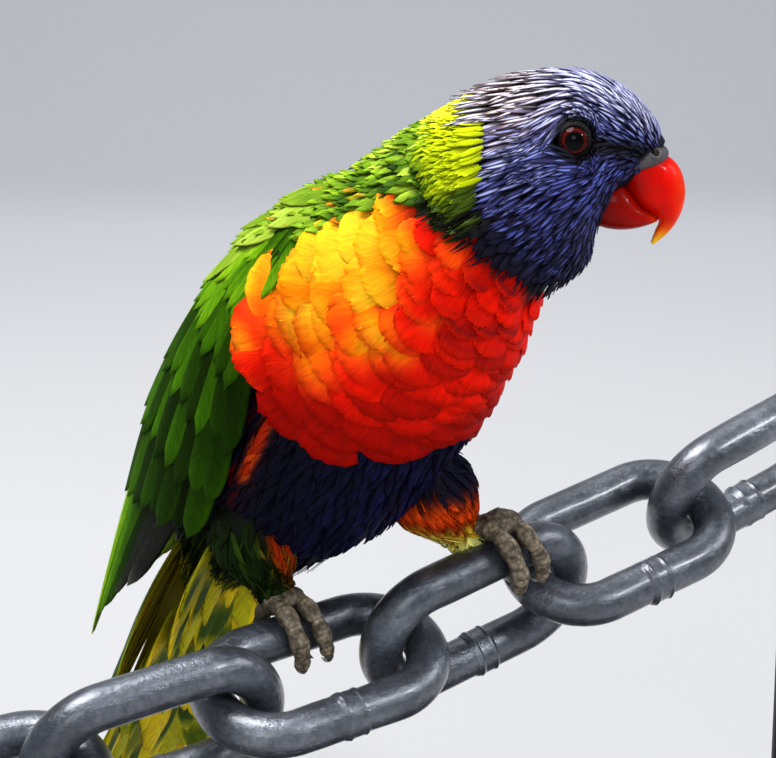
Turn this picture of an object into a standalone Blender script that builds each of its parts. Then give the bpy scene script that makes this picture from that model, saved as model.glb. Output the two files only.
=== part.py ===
"""A rainbow lorikeet gripping a short length of welded chain, life size, on a plain display stand.

Frame: +Z up, +X along the chain, the breast faces about -Y. The origin is the centre of the
stand's underside. Sizes are in millimetres times MM, so in metres.

The bird has a frame of its own: f forwards, l to its left and z up, from a point between the feet.
"""
import math

import bmesh
import bpy
import numpy as np

MM = 0.001
GAP = 0.3 * MM

# Stand and chain
BASE_LENGTH = 296 * MM
BASE_WIDTH = 124 * MM
BASE_THICKNESS = 8 * MM
BASE_CORNER = 30 * MM
ROD_RADIUS = 3 * MM
MARKED_LINK = 3  # the link that the chain and the bird are placed by, counted from 0
MARKED_AT = (25 * MM, 0, 113 * MM)
WIRE = 11 * MM
PITCH = 44.5 * MM
LINK_WIDTH = 41 * MM
STEP_SLOPES = (9.5, 11.0, 12.0, 16.7, 19.4)  # climb from each link to the next, degrees
LINK_SLOPES = (8.0, 8.4, 8.8, 15.5, 15.0, 20.2)  # climb of each link itself
LINK_ROLLS = (66, -22, 66, -22.5, 60, -28)  # lean of the upper bar, away from the breast side
WELD_RISE = 0.7 * MM

# Where the bird stands and how it is turned
BIRD_AT = (-10.0 * MM, 7.9 * MM, 119.0 * MM)
BIRD_SCALE = 1.035  # the sizes below that are in the bird's frame are multiplied by this
BIRD_HEADING = -72.4  # degrees from +X
EYE_AT = (59.0 * MM, 12.6 * MM, 112.9 * MM)  # the point midway between the eyes, in the bird's frame
HEAD_TURN = 41.0  # degrees to the bird's left
EYE_SPREAD = 10.6 * MM
EYE_RADIUS = 4.2 * MM

# Sections of the plumed body from tail root to forehead, in millimetres and degrees:
# f, l, z, half width, depth above and below the centre line, pitch and turn of the section
BODY_STATIONS = (
    (-52.0, 0.0, -7.0, 5.0, 4.0, 4.5, 52, 0),
    (-46.5, 0.0, -0.5, 10.0, 7.5, 9.0, 52, 0),
    (-38.5, 0.0, 8.5, 16.0, 12.5, 15.5, 51, 0),
    (-27.5, 0.0, 21.5, 22.5, 19.0, 24.0, 50, 0),
    (-12.0, 0.0, 39.0, 29.0, 25.0, 32.5, 50, 0),
    (7.0, 0.0, 62.5, 31.5, 27.0, 35.0, 51, 0),
    (22.0, 0.5, 79.5, 29.0, 26.0, 32.5, 50, 5),
    (33.0, 2.0, 90.5, 24.5, 24.0, 28.0, 45, 13),
    (42.0, 4.0, 98.0, 20.5, 22.2, 24.5, 39, 23),
    (51.0, 8.0, 105.0, 16.8, 20.2, 23.4, 30, 34),
    (60.5, 13.5, 110.5, 13.6, 16.9, 19.4, 10, 41),
    (66.5, 18.6, 110.8, 10.0, 12.4, 12.0, -6, 42),
    (70.4, 21.9, 109.6, 6.6, 8.0, 7.6, -16, 42),
    (73.0, 24.1, 108.2, 3.6, 4.6, 3.6, -24, 42),
)
NECK_FROM = 6.45  # station numbers where the body is parted
NECK_TO = 8.6

# The folded wing lies on a sleeve round the body, from the shoulder to the wing tip:
# f, z, half width, depth, and the angles of its lower and upper edge above the side
WING_STATIONS = (
    (25.5, 86.5, 28.0, 24.0, 22, 66),
    (3.0, 61.0, 34.5, 30.5, -3, 74),
    (-23.0, 33.0, 31.0, 29.0, -27, 80),
    (-50.0, 5.0, 22.0, 19.0, -20, 84),
    (-79.5, -30.5, 13.0, 9.0, 14, 80),
)
WING_SKIN = 3.2 * MM  # thickness of the folded arm under its feathers

TAIL_ROOT = (-48.0, -1.0, 4.0)
TAIL_PITCH = 62.5
TAIL_LENGTH = 124 * MM
TAIL_FEATHERS = 12

TOE_RADIUS = 2.55 * MM
TARSUS_RADIUS = 2.9 * MM


def clear_scene():
    for obj in list(bpy.data.objects):
        bpy.data.objects.remove(obj)


def material(name, colour, roughness=0.6, metallic=0.0):
    made = bpy.data.materials.new(name)
    made.use_nodes = True
    shader = made.node_tree.nodes["Principled BSDF"]
    shader.inputs["Base Color"].default_value = (*colour, 1.0)
    shader.inputs["Roughness"].default_value = roughness
    shader.inputs["Metallic"].default_value = metallic
    return made


def mesh_object(name, points, faces, finish):
    """A mesh object from points and faces, with its faces turned outwards."""
    mesh = bpy.data.meshes.new(name)
    mesh.from_pydata([tuple(map(float, p)) for p in points], [], faces)
    work = bmesh.new()
    work.from_mesh(mesh)
    bmesh.ops.remove_doubles(work, verts=work.verts, dist=1e-7)
    bmesh.ops.recalc_face_normals(work, faces=work.faces)
    work.to_mesh(mesh)
    work.free()
    mesh.materials.append(finish)
    obj = bpy.data.objects.new(name, mesh)
    bpy.context.scene.collection.objects.link(obj)
    return obj


def loft(name, rings, finish, closed=False):
    """Joins equal rings of points into one closed body: capped at both ends, or run round in a loop."""
    rings = np.asarray(rings)
    count, sides = rings.shape[:2]
    faces = []
    for i in range(count if closed else count - 1):
        here, after = i * sides, (i + 1) % count * sides
        for j in range(sides):
            k = (j + 1) % sides
            faces.append((here + j, here + k, after + k, after + j))
    if not closed:
        faces.append(tuple(range(sides)))
        faces.append(tuple((count - 1) * sides + j for j in range(sides)))
    return mesh_object(name, rings.reshape(-1, 3), faces, finish)


def spline(values, at):
    """Rows of values read at fractional row numbers, along a smooth curve through them."""
    values = np.asarray(values, float)
    at = np.atleast_1d(np.asarray(at, float))
    slopes = np.gradient(values, axis=0)
    i = np.clip(np.floor(at).astype(int), 0, len(values) - 2)
    t = (at - i)[:, None]
    return (
        (2 * t**3 - 3 * t**2 + 1) * values[i]
        + (t**3 - 2 * t**2 + t) * slopes[i]
        + (3 * t**2 - 2 * t**3) * values[i + 1]
        + (t**3 - t**2) * slopes[i + 1]
    )


def unit(v):
    v = np.asarray(v, float)
    return v / np.linalg.norm(v, axis=-1, keepdims=True)


def heading_frame():
    a = math.radians(BIRD_HEADING)
    forwards = np.array([math.cos(a), math.sin(a), 0.0])
    left = np.array([-math.sin(a), math.cos(a), 0.0])
    return np.array([forwards, left, [0.0, 0.0, 1.0]])


BIRD_AXES = heading_frame()


def bird_point(flz):
    """World place of points given in the bird's frame."""
    return BIRD_SCALE * np.asarray(flz) @ BIRD_AXES + np.array(BIRD_AT)


def head_point(points):
    """World place of points given forwards, left and up from midway between the eyes, in millimetres."""
    turn = math.radians(HEAD_TURN)
    axes = np.array([[math.cos(turn), math.sin(turn), 0], [-math.sin(turn), math.cos(turn), 0], [0, 0, 1]])
    return bird_point(np.asarray(points) * MM @ axes + np.array(EYE_AT))


def section_frames(pitch, turn):
    """Forward, left and dorsal directions, in the bird's frame, of sections at these angles."""
    pitch, turn = np.radians(pitch), np.radians(turn)
    ahead = np.stack([np.cos(pitch) * np.cos(turn), np.cos(pitch) * np.sin(turn), np.sin(pitch)], -1)
    left = np.stack([-np.sin(turn), np.cos(turn), 0 * turn], -1)
    return ahead, left, np.cross(ahead, left)


def body_rings(stations, sides, grow=0.0):
    """Rings of the body's surface at these station numbers, grown outwards by a distance."""
    rows = spline(BODY_STATIONS, stations)
    _, left, dorsal = section_frames(rows[:, 6], rows[:, 7])
    angle = np.arange(sides) * 2 * math.pi / sides
    across = np.cos(angle)[None, :] * (rows[:, 3:4] * MM + grow)
    depth = np.where(np.sin(angle)[None, :] > 0, rows[:, 4:5], rows[:, 5:6]) * MM + grow
    along = np.sin(angle)[None, :] * depth
    centre = rows[:, None, :3] * MM
    return bird_point(centre + across[..., None] * left[:, None] + along[..., None] * dorsal[:, None])


def body_piece(name, start, end, steps, sides, finish, grow=0.0):
    """A length of the body, with each flat end drawn in by half a gap."""
    at = np.linspace(start, end, steps)
    rings = body_rings(at, sides, grow)
    ahead = section_frames(*spline(BODY_STATIONS, at[[0, -1]])[:, 6:8].T)[0] @ BIRD_AXES
    if start > 0:
        rings[0] += ahead[0] * GAP / 2
    if end < len(BODY_STATIONS) - 1:
        rings[-1] -= ahead[1] * GAP / 2
    return loft(name, rings, finish)


def keep_largest(obj):
    """Keeps the closed surface that holds most, which also fills any sealed hollow."""
    work = bmesh.new()
    work.from_mesh(obj.data)
    bmesh.ops.remove_doubles(work, verts=work.verts, dist=2e-6)
    bmesh.ops.dissolve_degenerate(work, edges=work.edges, dist=2e-6)
    bmesh.ops.triangulate(work, faces=work.faces)
    left_over = set(work.faces)
    islands = []
    while left_over:
        stack = [left_over.pop()]
        island = []
        while stack:
            face = stack.pop()
            island.append(face)
            for edge in face.edges:
                for other in edge.link_faces:
                    if other in left_over:
                        left_over.remove(other)
                        stack.append(other)
        islands.append(island)

    def volume(island):
        corners = [[v.co for v in face.verts] for face in island]
        return abs(sum(a.dot(b.cross(c)) for a, b, c in corners))

    islands.sort(key=volume)
    scrap = [face for island in islands[:-1] for face in island]
    if scrap:
        bmesh.ops.delete(work, geom=scrap, context="FACES")
        bmesh.ops.delete(work, geom=[v for v in work.verts if not v.link_faces], context="VERTS")
    work.to_mesh(obj.data)
    work.free()


def boolean(obj, others, operation, solver="EXACT"):
    """Joins or cuts an object by others, applies it, and removes the others."""
    group = bpy.data.collections.new("operands")
    bpy.context.scene.collection.children.link(group)
    for other in others:
        bpy.context.scene.collection.objects.unlink(other)
        group.objects.link(other)
    step = obj.modifiers.new("join", "BOOLEAN")
    step.operation = operation
    step.solver = solver
    step.operand_type = "COLLECTION"
    step.collection = group
    graph = bpy.context.evaluated_depsgraph_get()
    made = bpy.data.meshes.new_from_object(obj.evaluated_get(graph))
    obj.modifiers.clear()
    obj.data = made
    for other in others:
        bpy.data.objects.remove(other)
    bpy.data.collections.remove(group)
    keep_largest(obj)
    return obj


def shade(obj, angle=40):
    obj.data.shade_smooth()
    obj.data.set_sharp_from_angle(angle=math.radians(angle))


def tube_rings(path, radii, sides, flatten=1.0, side=None):
    """Rings round a path. A flatten under 1 thins the ring along the normal, away from its side."""
    path = np.asarray(path, float)
    radii = np.broadcast_to(radii, len(path))
    tangent = unit(np.gradient(path, axis=0))
    if side is None:
        side = np.broadcast_to([0.0, 0.0, 1.0], path.shape)
        side = np.where(np.abs((tangent * side).sum(1, keepdims=True)) > 0.95, [[1.0, 0, 0]], side)
    across = unit(np.cross(tangent, side))
    normal = np.cross(across, tangent)
    angle = np.arange(sides) * 2 * math.pi / sides
    return (
        path[:, None]
        + radii[:, None, None] * np.cos(angle)[None, :, None] * across[:, None]
        + radii[:, None, None] * flatten * np.sin(angle)[None, :, None] * normal[:, None]
    )


def rounded_tube(name, path, radii, sides, finish, flatten=1.0, side=None):
    """A tube whose two ends draw in to small caps."""
    rings = tube_rings(path, radii, sides, flatten, side)
    return loft(name, rings, finish)


def ball(name, centre, radii, finish, sides=12, rows=8, axes=np.eye(3)):
    """An ellipsoid with its radii along these axes."""
    polar = np.linspace(0.06, math.pi - 0.06, rows)
    angle = np.arange(sides) * 2 * math.pi / sides
    local = np.stack(
        [
            np.sin(polar)[:, None] * np.cos(angle)[None, :],
            np.sin(polar)[:, None] * np.sin(angle)[None, :],
            np.cos(polar)[:, None] + 0 * angle[None, :],
        ],
        -1,
    )
    return loft(name, (local * np.asarray(radii)) @ axes + np.asarray(centre), finish)


def link_frames():
    """Centre, along, up-bar and normal directions of each link, each hung a fine gap inside the next."""
    radius = (LINK_WIDTH - WIRE) / 2
    straight = (PITCH + WIRE) / 2 - radius
    angle = np.linspace(-math.pi / 2, math.pi / 2, 61)
    frames = []
    for number, (slope, roll) in enumerate(zip(LINK_SLOPES, LINK_ROLLS)):
        a, r = math.radians(slope), math.radians(roll)
        along = np.array([math.cos(a), 0, math.sin(a)])
        up = np.array([-math.sin(a), 0, math.cos(a)])
        bar = math.cos(r) * up + math.sin(r) * np.array([0, 1.0, 0])
        ends = [
            np.outer(side * (straight + radius * np.cos(angle)), along) + np.outer(radius * np.sin(angle), bar)
            for side in (-1, 1)
        ]
        centre = np.zeros(3)
        if frames:
            a = math.radians(STEP_SLOPES[number - 1])
            way = np.array([math.cos(a), 0, math.sin(a)])
            step = PITCH
            for _ in range(6):
                centre = frames[-1][0] + step * way
                apart = np.linalg.norm((centre + ends[0])[:, None] - last_end[None], axis=2).min()
                step -= WIRE + GAP - apart
        last_end = centre + ends[1]
        frames.append((centre, along, bar, np.cross(along, bar)))
    shift = np.array(MARKED_AT) - frames[MARKED_LINK][0]
    return [(centre + shift, *axes) for centre, *axes in frames]


LINKS = link_frames()
LINK_END_RADIUS = (LINK_WIDTH - WIRE) / 2
LINK_STRAIGHT = (PITCH + WIRE) / 2 - LINK_END_RADIUS


def link_point(number, distance, bar=1):
    """Centre, tangent, outward direction and normal of the wire, a distance along one bar from its middle."""
    centre, along, up, normal = LINKS[number]
    reach = abs(distance) - LINK_STRAIGHT
    sign = math.copysign(1, distance)
    if reach <= 0:
        return centre + along * distance + up * bar * LINK_END_RADIUS, along, up * bar, normal
    a = reach / LINK_END_RADIUS
    outward = math.cos(a) * up * bar + math.sin(a) * sign * along
    tangent = math.cos(a) * along - math.sin(a) * sign * up * bar
    return centre + along * sign * LINK_STRAIGHT + outward * LINK_END_RADIUS, tangent, outward, normal


def chain_link(number, finish):
    """One welded link: wire round a stadium, with a low collar where its lower bar is welded."""
    sides, arc_steps = 10, 8
    centre, along, up, normal = LINKS[number]
    collar = (-2.6 * MM, -1.6 * MM, 0, 1.6 * MM, 2.6 * MM)
    rise = (0, WELD_RISE, WELD_RISE * 0.6, WELD_RISE, 0)
    spots = [(LINK_STRAIGHT * s, -LINK_END_RADIUS, 0.0, -math.pi / 2) for s in (-1,)]
    spots += [(c, -LINK_END_RADIUS, r, -math.pi / 2) for c, r in zip(collar, rise)]
    for i in range(arc_steps + 1):
        a = -math.pi / 2 + math.pi * i / arc_steps
        spots.append((LINK_STRAIGHT + math.cos(a) * LINK_END_RADIUS, math.sin(a) * LINK_END_RADIUS, 0.0, a))
    for i in range(arc_steps + 1):
        a = math.pi / 2 + math.pi * i / arc_steps
        if i < arc_steps:
            spots.append((-LINK_STRAIGHT + math.cos(a) * LINK_END_RADIUS, math.sin(a) * LINK_END_RADIUS, 0.0, a))
    rings = []
    turn = np.arange(sides) * 2 * math.pi / sides
    for x, y, extra, a in spots:
        out = math.cos(a) * along + math.sin(a) * up
        spot = centre + x * along + y * up
        radius = WIRE / 2 + extra
        rings.append(spot + radius * (np.cos(turn)[:, None] * out + np.sin(turn)[:, None] * normal))
    made = loft(f"chain_link_{number + 1}", rings, finish, closed=True)
    shade(made, 50)
    return made


def wire_cutter(number, bar, distance, reach, finish):
    """A tube a fine gap larger than the wire, along one bar of a link and on round its ends."""
    path = [link_point(number, distance + k * reach, bar)[0] for k in np.linspace(-1, 1, 11)]
    side = np.broadcast_to(LINKS[number][3], (11, 3))
    return loft("wire_cutter", tube_rings(path, WIRE / 2 + GAP * 1.4, 16, side=side), finish)


def rounded_slab(name, length, width, thickness, corner, finish):
    """A flat slab with round corners and a small chamfer round its top."""
    outline = []
    for quarter in range(4):
        centre = np.array([(length / 2 - corner) * (1, -1, -1, 1)[quarter], (width / 2 - corner) * (1, 1, -1, -1)[quarter]])
        for i in range(7):
            a = math.pi / 2 * (quarter + i / 6)
            outline.append((centre, np.array([math.cos(a), math.sin(a)])))
    rings = []
    for height, inset in ((0, 0), (thickness - 1.5 * MM, 0), (thickness, 1.5 * MM)):
        rings.append([(*(c + d * (corner - inset)), height) for c, d in outline])
    made = loft(name, rings, finish)
    shade(made, 30)
    return made


def stand_rod(name, number, distance, finish):
    """A rod from the base up to the lower bar of a link, with a saddle cut to the wire."""
    x, y, top = link_point(number, distance, -1)[0]
    angle = np.arange(16) * math.pi / 8
    rings = [[(x + ROD_RADIUS * math.cos(a), y + ROD_RADIUS * math.sin(a), h) for a in angle]
             for h in (BASE_THICKNESS + GAP, top)]
    rod = loft(name, rings, finish)
    boolean(rod, [wire_cutter(number, -1, distance, 12 * MM, finish)], "DIFFERENCE")
    shade(rod)
    return rod


def sleeve(number, angle, lift=0.0, hand=-1):
    """Points and outward directions on the wing sleeve at these station numbers and angles above the side."""
    rows = spline(WING_STATIONS, number)
    centre = np.stack([rows[:, 0], 0 * rows[:, 0], rows[:, 1]], -1) * MM
    step = 0.02
    ahead = spline(WING_STATIONS, np.asarray(number) - step) - spline(WING_STATIONS, np.asarray(number) + step)
    tangent = unit(np.stack([ahead[:, 0], 0 * ahead[:, 0], ahead[:, 1]], -1))
    dorsal = np.stack([-tangent[:, 2], 0 * tangent[:, 0], tangent[:, 0]], -1)
    side = np.array([0.0, hand, 0.0])
    a = np.radians(angle)
    half, depth = rows[:, 2:3] * MM, rows[:, 3:4] * MM
    outward = unit(np.cos(a)[:, None] / half * side + np.sin(a)[:, None] / depth * dorsal)
    spot = centre + np.cos(a)[:, None] * half * side + np.sin(a)[:, None] * depth * dorsal
    return spot + outward * np.reshape(lift, (-1, 1)), outward


def wing_vane(name, root, tip, half_width, lift, thickness, hand, finish, steps=5, droop=0.0):
    """A flat feather on the sleeve from root to tip, each (station number, angle), leaf shaped and ridged."""
    t = np.linspace(0, 1, steps)
    number = root[0] + (tip[0] - root[0]) * t
    angle = root[1] + (tip[1] - root[1]) * t
    raised = lift[0] + (lift[1] - lift[0]) * t
    width = half_width * np.interp(t, (0, 0.2, 0.55, 0.85, 0.95, 1), (0.55, 0.85, 1.0, 0.86, 0.55, 0.14))
    centre, outward = sleeve(number, angle, raised, hand)
    centre, outward = bird_point(centre), outward @ BIRD_AXES
    along = unit(np.gradient(centre, axis=0))
    across = unit(np.cross(outward, along))
    curl = droop * (width / half_width) ** 2
    thick = thickness * np.interp(t, (0, 0.8, 1), (1, 1, 0.5))
    edge = outward * curl[:, None]
    rings = np.stack(
        [
            centre + across * width[:, None] - edge,
            centre + outward * (thick / 2)[:, None],
            centre - across * width[:, None] - edge,
            centre - outward * (thick / 2)[:, None] - edge * 0.3,
        ],
        1,
    )
    return loft(name, rings, finish)


def wing_core(name, hand, finish):
    """The folded arm and its small covert feathers: a curved pad that thins towards the wing's edges."""
    numbers = np.linspace(0.0, 2.3, 9)
    across = 8
    rings = []
    for i, number in enumerate(numbers):
        row = spline(WING_STATIONS, number)[0]
        low, high = row[4] + 4, row[5] - 4
        angles = np.linspace(low, high, across)
        bulge = np.sin(np.linspace(0, math.pi, across)) ** 0.7
        taper = math.sin(math.pi * (0.1 + 0.84 * i / (len(numbers) - 1))) ** 0.6
        at = np.full(across, number)
        outer, _ = sleeve(at, angles, 0.5 * MM + WING_SKIN * bulge * taper, hand)
        inner, _ = sleeve(at[::-1], angles[::-1], np.full(across, -1.5 * MM), hand)
        rings.append(bird_point(np.concatenate([outer, inner])))
    return loft(name, rings, finish)


def wing(name, hand, finish):
    """A folded wing: primaries, secondaries and three tiers of coverts over a core."""
    core = wing_core(name, hand, finish)
    pieces = []

    def tier(count, kind, roots, tips, half_width, lifts, thickness):
        """Feathers spread evenly between two root places and two tip places, (station, angle, lift)."""
        for i in range(count):
            t = i / (count - 1)
            wave = 0.5 + 0.5 * math.sin(2.4 * i + len(kind))
            root = np.array(roots[0]) * (1 - t) + np.array(roots[1]) * t
            tip = np.array(tips[0]) * (1 - t) + np.array(tips[1]) * t
            tip = tip + np.array([0.05 * wave, 1.5 * wave])
            lift = (lifts[0] + lifts[1] * t, lifts[2] + lifts[3] * t)
            pieces.append(
                wing_vane(f"{name}_{kind}_{i}", root, tip, half_width, lift, thickness, hand, finish, droop=0.5 * MM)
            )

    tier(6, "primary", ((1.6, -10), (1.8, 24)), ((3.2, 8), (4.0, 52)), 5.4 * MM,
         (-0.2 * MM, 1.2 * MM, -0.2 * MM, 1.2 * MM), 1.0 * MM)
    tier(7, "secondary", ((0.9, 2), (1.0, 62)), ((2.5, -25), (2.95, 68)), 5.8 * MM,
         (1.2 * MM, 0.8 * MM, 1.3 * MM, 1.0 * MM), 1.0 * MM)
    tier(7, "greater_covert", ((0.55, 12), (0.6, 62)), ((1.75, -22), (1.85, 66)), 5.6 * MM,
         (2.0 * MM, 0.6 * MM, 3.0 * MM, 0.6 * MM), 1.0 * MM)
    tier(6, "median_covert", ((0.25, 22), (0.3, 60)), ((1.1, 0), (1.15, 64)), 5.4 * MM,
         (2.2 * MM, 0.4 * MM, 4.0 * MM, 0.4 * MM), 1.0 * MM)
    tier(5, "lesser_covert", ((0.0, 32), (0.02, 54)), ((0.58, 16), (0.6, 60)), 5.0 * MM,
         (1.6 * MM, 0.2 * MM, 4.0 * MM, 0.4 * MM), 1.0 * MM)
    return boolean(core, pieces, "UNION")


def wing_cutter(hand, finish):
    """The room that a folded wing takes from its middle to past its tip, with a fine gap inside it."""
    rings = []
    for number in np.linspace(1.2, 4.15, 9):
        row = spline(WING_STATIONS, number)[0]
        angles = np.linspace(row[4] - 16, row[5] + 3, 7)
        at = np.full(7, number)
        outer, _ = sleeve(at, angles, np.full(7, 7 * MM), hand)
        inner, _ = sleeve(at, angles[::-1], np.full(7, -1.3 * MM - GAP), hand)
        rings.append(bird_point(np.concatenate([outer, inner])))
    return loft("wing_cutter", rings, finish)


def tail_axes():
    pitch = math.radians(TAIL_PITCH)
    back = np.array([-math.cos(pitch), 0, -math.sin(pitch)])
    side = np.array([0.0, 1.0, 0.0])
    return back, side, np.cross(side, back)


def flat_feather(name, root, direction, upward, length, half_width, thickness, finish, sag=0.0, steps=7):
    """A straight or gently drooping feather from a root, in the bird's frame, with a ridge and thin edges."""
    t = np.linspace(0, 1, steps)
    width = half_width * np.interp(t, (0, 0.15, 0.5, 0.8, 0.93, 1), (0.45, 0.8, 1.0, 0.72, 0.42, 0.1))
    centre = root + np.outer(t * length, direction) - np.outer(sag * t**2, upward)
    across = unit(np.cross(direction, upward))
    thick = thickness * np.interp(t, (0, 0.8, 1), (1, 1, 0.5))
    rings = np.stack(
        [
            centre + np.outer(width, across) - np.outer(thick * 0.4, upward),
            centre + np.outer(thick / 2, upward),
            centre - np.outer(width, across) - np.outer(thick * 0.4, upward),
            centre - np.outer(thick / 2, upward),
        ],
        1,
    )
    return loft(name, bird_point(rings), finish)


def tail(finish):
    """Graduated tail: the middle pair longest and uppermost, each outer one shorter and lower."""
    back, side, upward = tail_axes()
    root = np.array(TAIL_ROOT) * MM
    core = ball("tail", bird_point(root + back * 12 * MM), (9 * MM, 6 * MM, 16 * MM), finish,
                axes=np.array([side, upward, back]) @ BIRD_AXES)
    pieces = []
    half = TAIL_FEATHERS // 2
    for i in range(TAIL_FEATHERS):
        out = (i // 2 + 0.5) / half
        hand = 1 if i % 2 else -1
        splay = math.radians(6.5 * out * hand)
        direction = unit(back * math.cos(splay) + side * math.sin(splay))
        start = root + side * hand * (0.7 + 6.6 * out) * MM - upward * (2.4 * out + 0.35 * (i % 2)) * MM
        length = TAIL_LENGTH * (1 - 0.42 * out**1.2)
        pieces.append(
            flat_feather(f"tail_feather_{i}", start, direction, upward, length, 6.6 * MM, 1.0 * MM, finish, 3 * MM)
        )
    return boolean(core, pieces, "UNION")


def under_tail(finish):
    """Vent and under-tail coverts: three rows of soft broad feathers below the tail's root."""
    back, side, upward = tail_axes()
    root = np.array(TAIL_ROOT) * MM - upward * 8.5 * MM
    core = ball("under_tail_coverts", bird_point(root + back * 7 * MM), (13 * MM, 6.0 * MM, 24 * MM), finish,
                axes=np.array([side, upward, back]) @ BIRD_AXES)
    pieces = []
    for row, (reach, count) in enumerate(((26, 5), (42, 4), (56, 3))):
        for i in range(count):
            t = 2 * (i + 0.5) / count - 1
            splay = math.radians(10 * t)
            direction = unit(back * math.cos(splay) + side * math.sin(splay))
            start = root - back * 4 * MM + side * 8.5 * t * MM - upward * (1.6 - 0.9 * row + 0.3 * (i % 2)) * MM
            pieces.append(flat_feather(f"under_covert_{row}_{i}", start, direction, upward,
                                       reach * MM, 6.6 * MM, 1.2 * MM, finish, -1.0 * MM, steps=5))
    return boolean(core, pieces, "UNION")


def head_section(name, rows, sides, finish, grow=0.0):
    """A loft in the head's middle plane: rows give the top and bottom edge points and the half width."""
    rows = np.asarray(rows, float)
    angle = np.arange(sides) * 2 * math.pi / sides
    rings = []
    for top_f, top_u, low_f, low_u, half in rows:
        top, low = np.array([top_f, 0, top_u]), np.array([low_f, 0, low_u])
        middle, reach = (top + low) / 2, (top - low) / 2
        spread = 1 + grow / max(np.linalg.norm(reach), 0.4)
        points = middle + np.outer(np.sin(angle), reach) * spread
        points[:, 1] += np.cos(angle) * (half + grow)
        rings.append(head_point(points))
    return loft(name, rings, finish)


# Top edge, bottom edge (forwards and up of the eyes) and half width of each slice, in millimetres
UPPER_BILL = (
    (13.0, -4.4, 6.0, -8.0, 4.4),
    (18.6, -3.8, 10.4, -8.0, 5.2),
    (21.4, -4.8, 11.6, -10.4, 5.4),
    (23.4, -7.4, 13.0, -12.9, 5.3),
    (24.3, -11.0, 15.0, -15.1, 4.8),
    (24.1, -14.2, 17.2, -16.3, 4.0),
    (22.9, -17.6, 18.9, -17.9, 2.9),
    (20.9, -20.4, 18.3, -19.8, 1.6),
    (18.0, -23.0, 17.4, -22.4, 0.45),
)
LOWER_BILL = (
    (4.0, -8.6, 2.5, -17.0, 4.0),
    (10.0, -8.8, 6.4, -19.0, 4.9),
    (12.6, -10.6, 9.4, -19.7, 5.0),
    (14.4, -13.2, 12.4, -19.7, 4.6),
    (16.4, -15.0, 15.2, -19.2, 3.8),
    (17.9, -16.2, 17.3, -18.5, 2.7),
    (18.6, -17.3, 18.6, -17.9, 1.6),
)


def bill_and_head(finishes):
    """The head with its bill, cere, eyes and lids, each set into the one before with a fine gap."""
    upper = head_section("bill_upper", UPPER_BILL, 14, finishes["bill"])
    lower = head_section("bill_lower", LOWER_BILL, 12, finishes["bill"])
    boolean(lower, [head_section("upper_cutter", UPPER_BILL, 14, finishes["bill"], grow=0.3)], "DIFFERENCE")
    saddle = [(13.6, 5.6, -5.8), (16.2, 5.0, -4.4), (18.4, 3.0, -3.9), (19.2, 0, -3.7),
              (18.4, -3.0, -3.9), (16.2, -5.0, -4.4), (13.6, -5.6, -5.8)]
    thick = np.array([1.2, 1.8, 2.0, 1.9, 2.0, 1.8, 1.2]) * MM
    cere = rounded_tube("cere", head_point(saddle), thick, 8, finishes["cere"])
    nostrils = [ball(f"nostril_{s}", head_point((17.4, s * 5.7, -3.7)), (0.9 * MM,) * 3, finishes["cere"], 8, 6)
                for s in (-1, 1)]
    upper_gap = head_section("upper_cutter", UPPER_BILL, 14, finishes["bill"], grow=0.3)
    boolean(cere, [upper_gap, *nostrils], "DIFFERENCE")

    head = body_piece("head", NECK_TO, len(BODY_STATIONS) - 1, 15, 24, finishes["head"])
    turn = math.radians(HEAD_TURN)
    sideways = np.array([[-math.sin(turn), math.cos(turn), 0]]) @ BIRD_AXES
    lids, sockets, eyes = [], [], []
    for hand, side in (("left", 1), ("right", -1)):
        centre = head_point((0.7, side * EYE_SPREAD / MM, 0))
        outward = sideways[0] * side
        fore = np.array([math.cos(turn), math.sin(turn), 0]) @ BIRD_AXES
        axes = np.array([fore, np.cross(outward, fore), outward])
        eyes.append(ball(f"eye_{hand}", centre, (EYE_RADIUS,) * 3, finishes["eye"], 14, 8, axes))
        sockets.append(ball(f"socket_{hand}", centre, (EYE_RADIUS + GAP,) * 3, finishes["head"], 14, 8, axes))
        a = np.linspace(0, 2 * math.pi, 15)[:-1]
        rim = centre + outward * 2.3 * MM + 3.75 * MM * (np.outer(np.cos(a), axes[0]) + np.outer(np.sin(a), axes[1]))
        ring = []
        for k, angle in enumerate(a):
            out = np.cos(angle) * axes[0] + np.sin(angle) * axes[1]
            b = np.arange(6) * math.pi / 3
            ring.append(rim[k] + 0.9 * MM * (np.outer(np.cos(b), out) + np.outer(np.sin(b), outward)))
        lids.append(loft(f"lid_{hand}", ring, finishes["head"], closed=True))
    boolean(head, lids, "UNION")
    cutters = sockets + [
        head_section("upper_cutter", UPPER_BILL, 14, finishes["bill"], grow=0.3),
        head_section("lower_cutter", LOWER_BILL, 12, finishes["bill"], grow=0.3),
        rounded_tube("cere_cutter", head_point(saddle), thick + GAP, 8, finishes["cere"]),
    ]
    boolean(head, cutters, "DIFFERENCE")
    for obj in (upper, lower, cere, head, *eyes):
        shade(obj)
    return head


# Each toe: its root's place along the bar, its drift along the bar from root to tip, the wrap it
# makes round the wire from its first to its last angle beside the palm, towards the breast, and its size
FOOT_TOES = (
    ("toe_2", -3.0, 2.2, 12, 146, 1.04),
    ("toe_3", 2.6, 3.4, 12, 134, 0.96),
    ("toe_1", -2.8, -3.0, -12, -112, 0.86),
    ("toe_4", 3.0, 1.6, -12, -128, 0.94),
)


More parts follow.
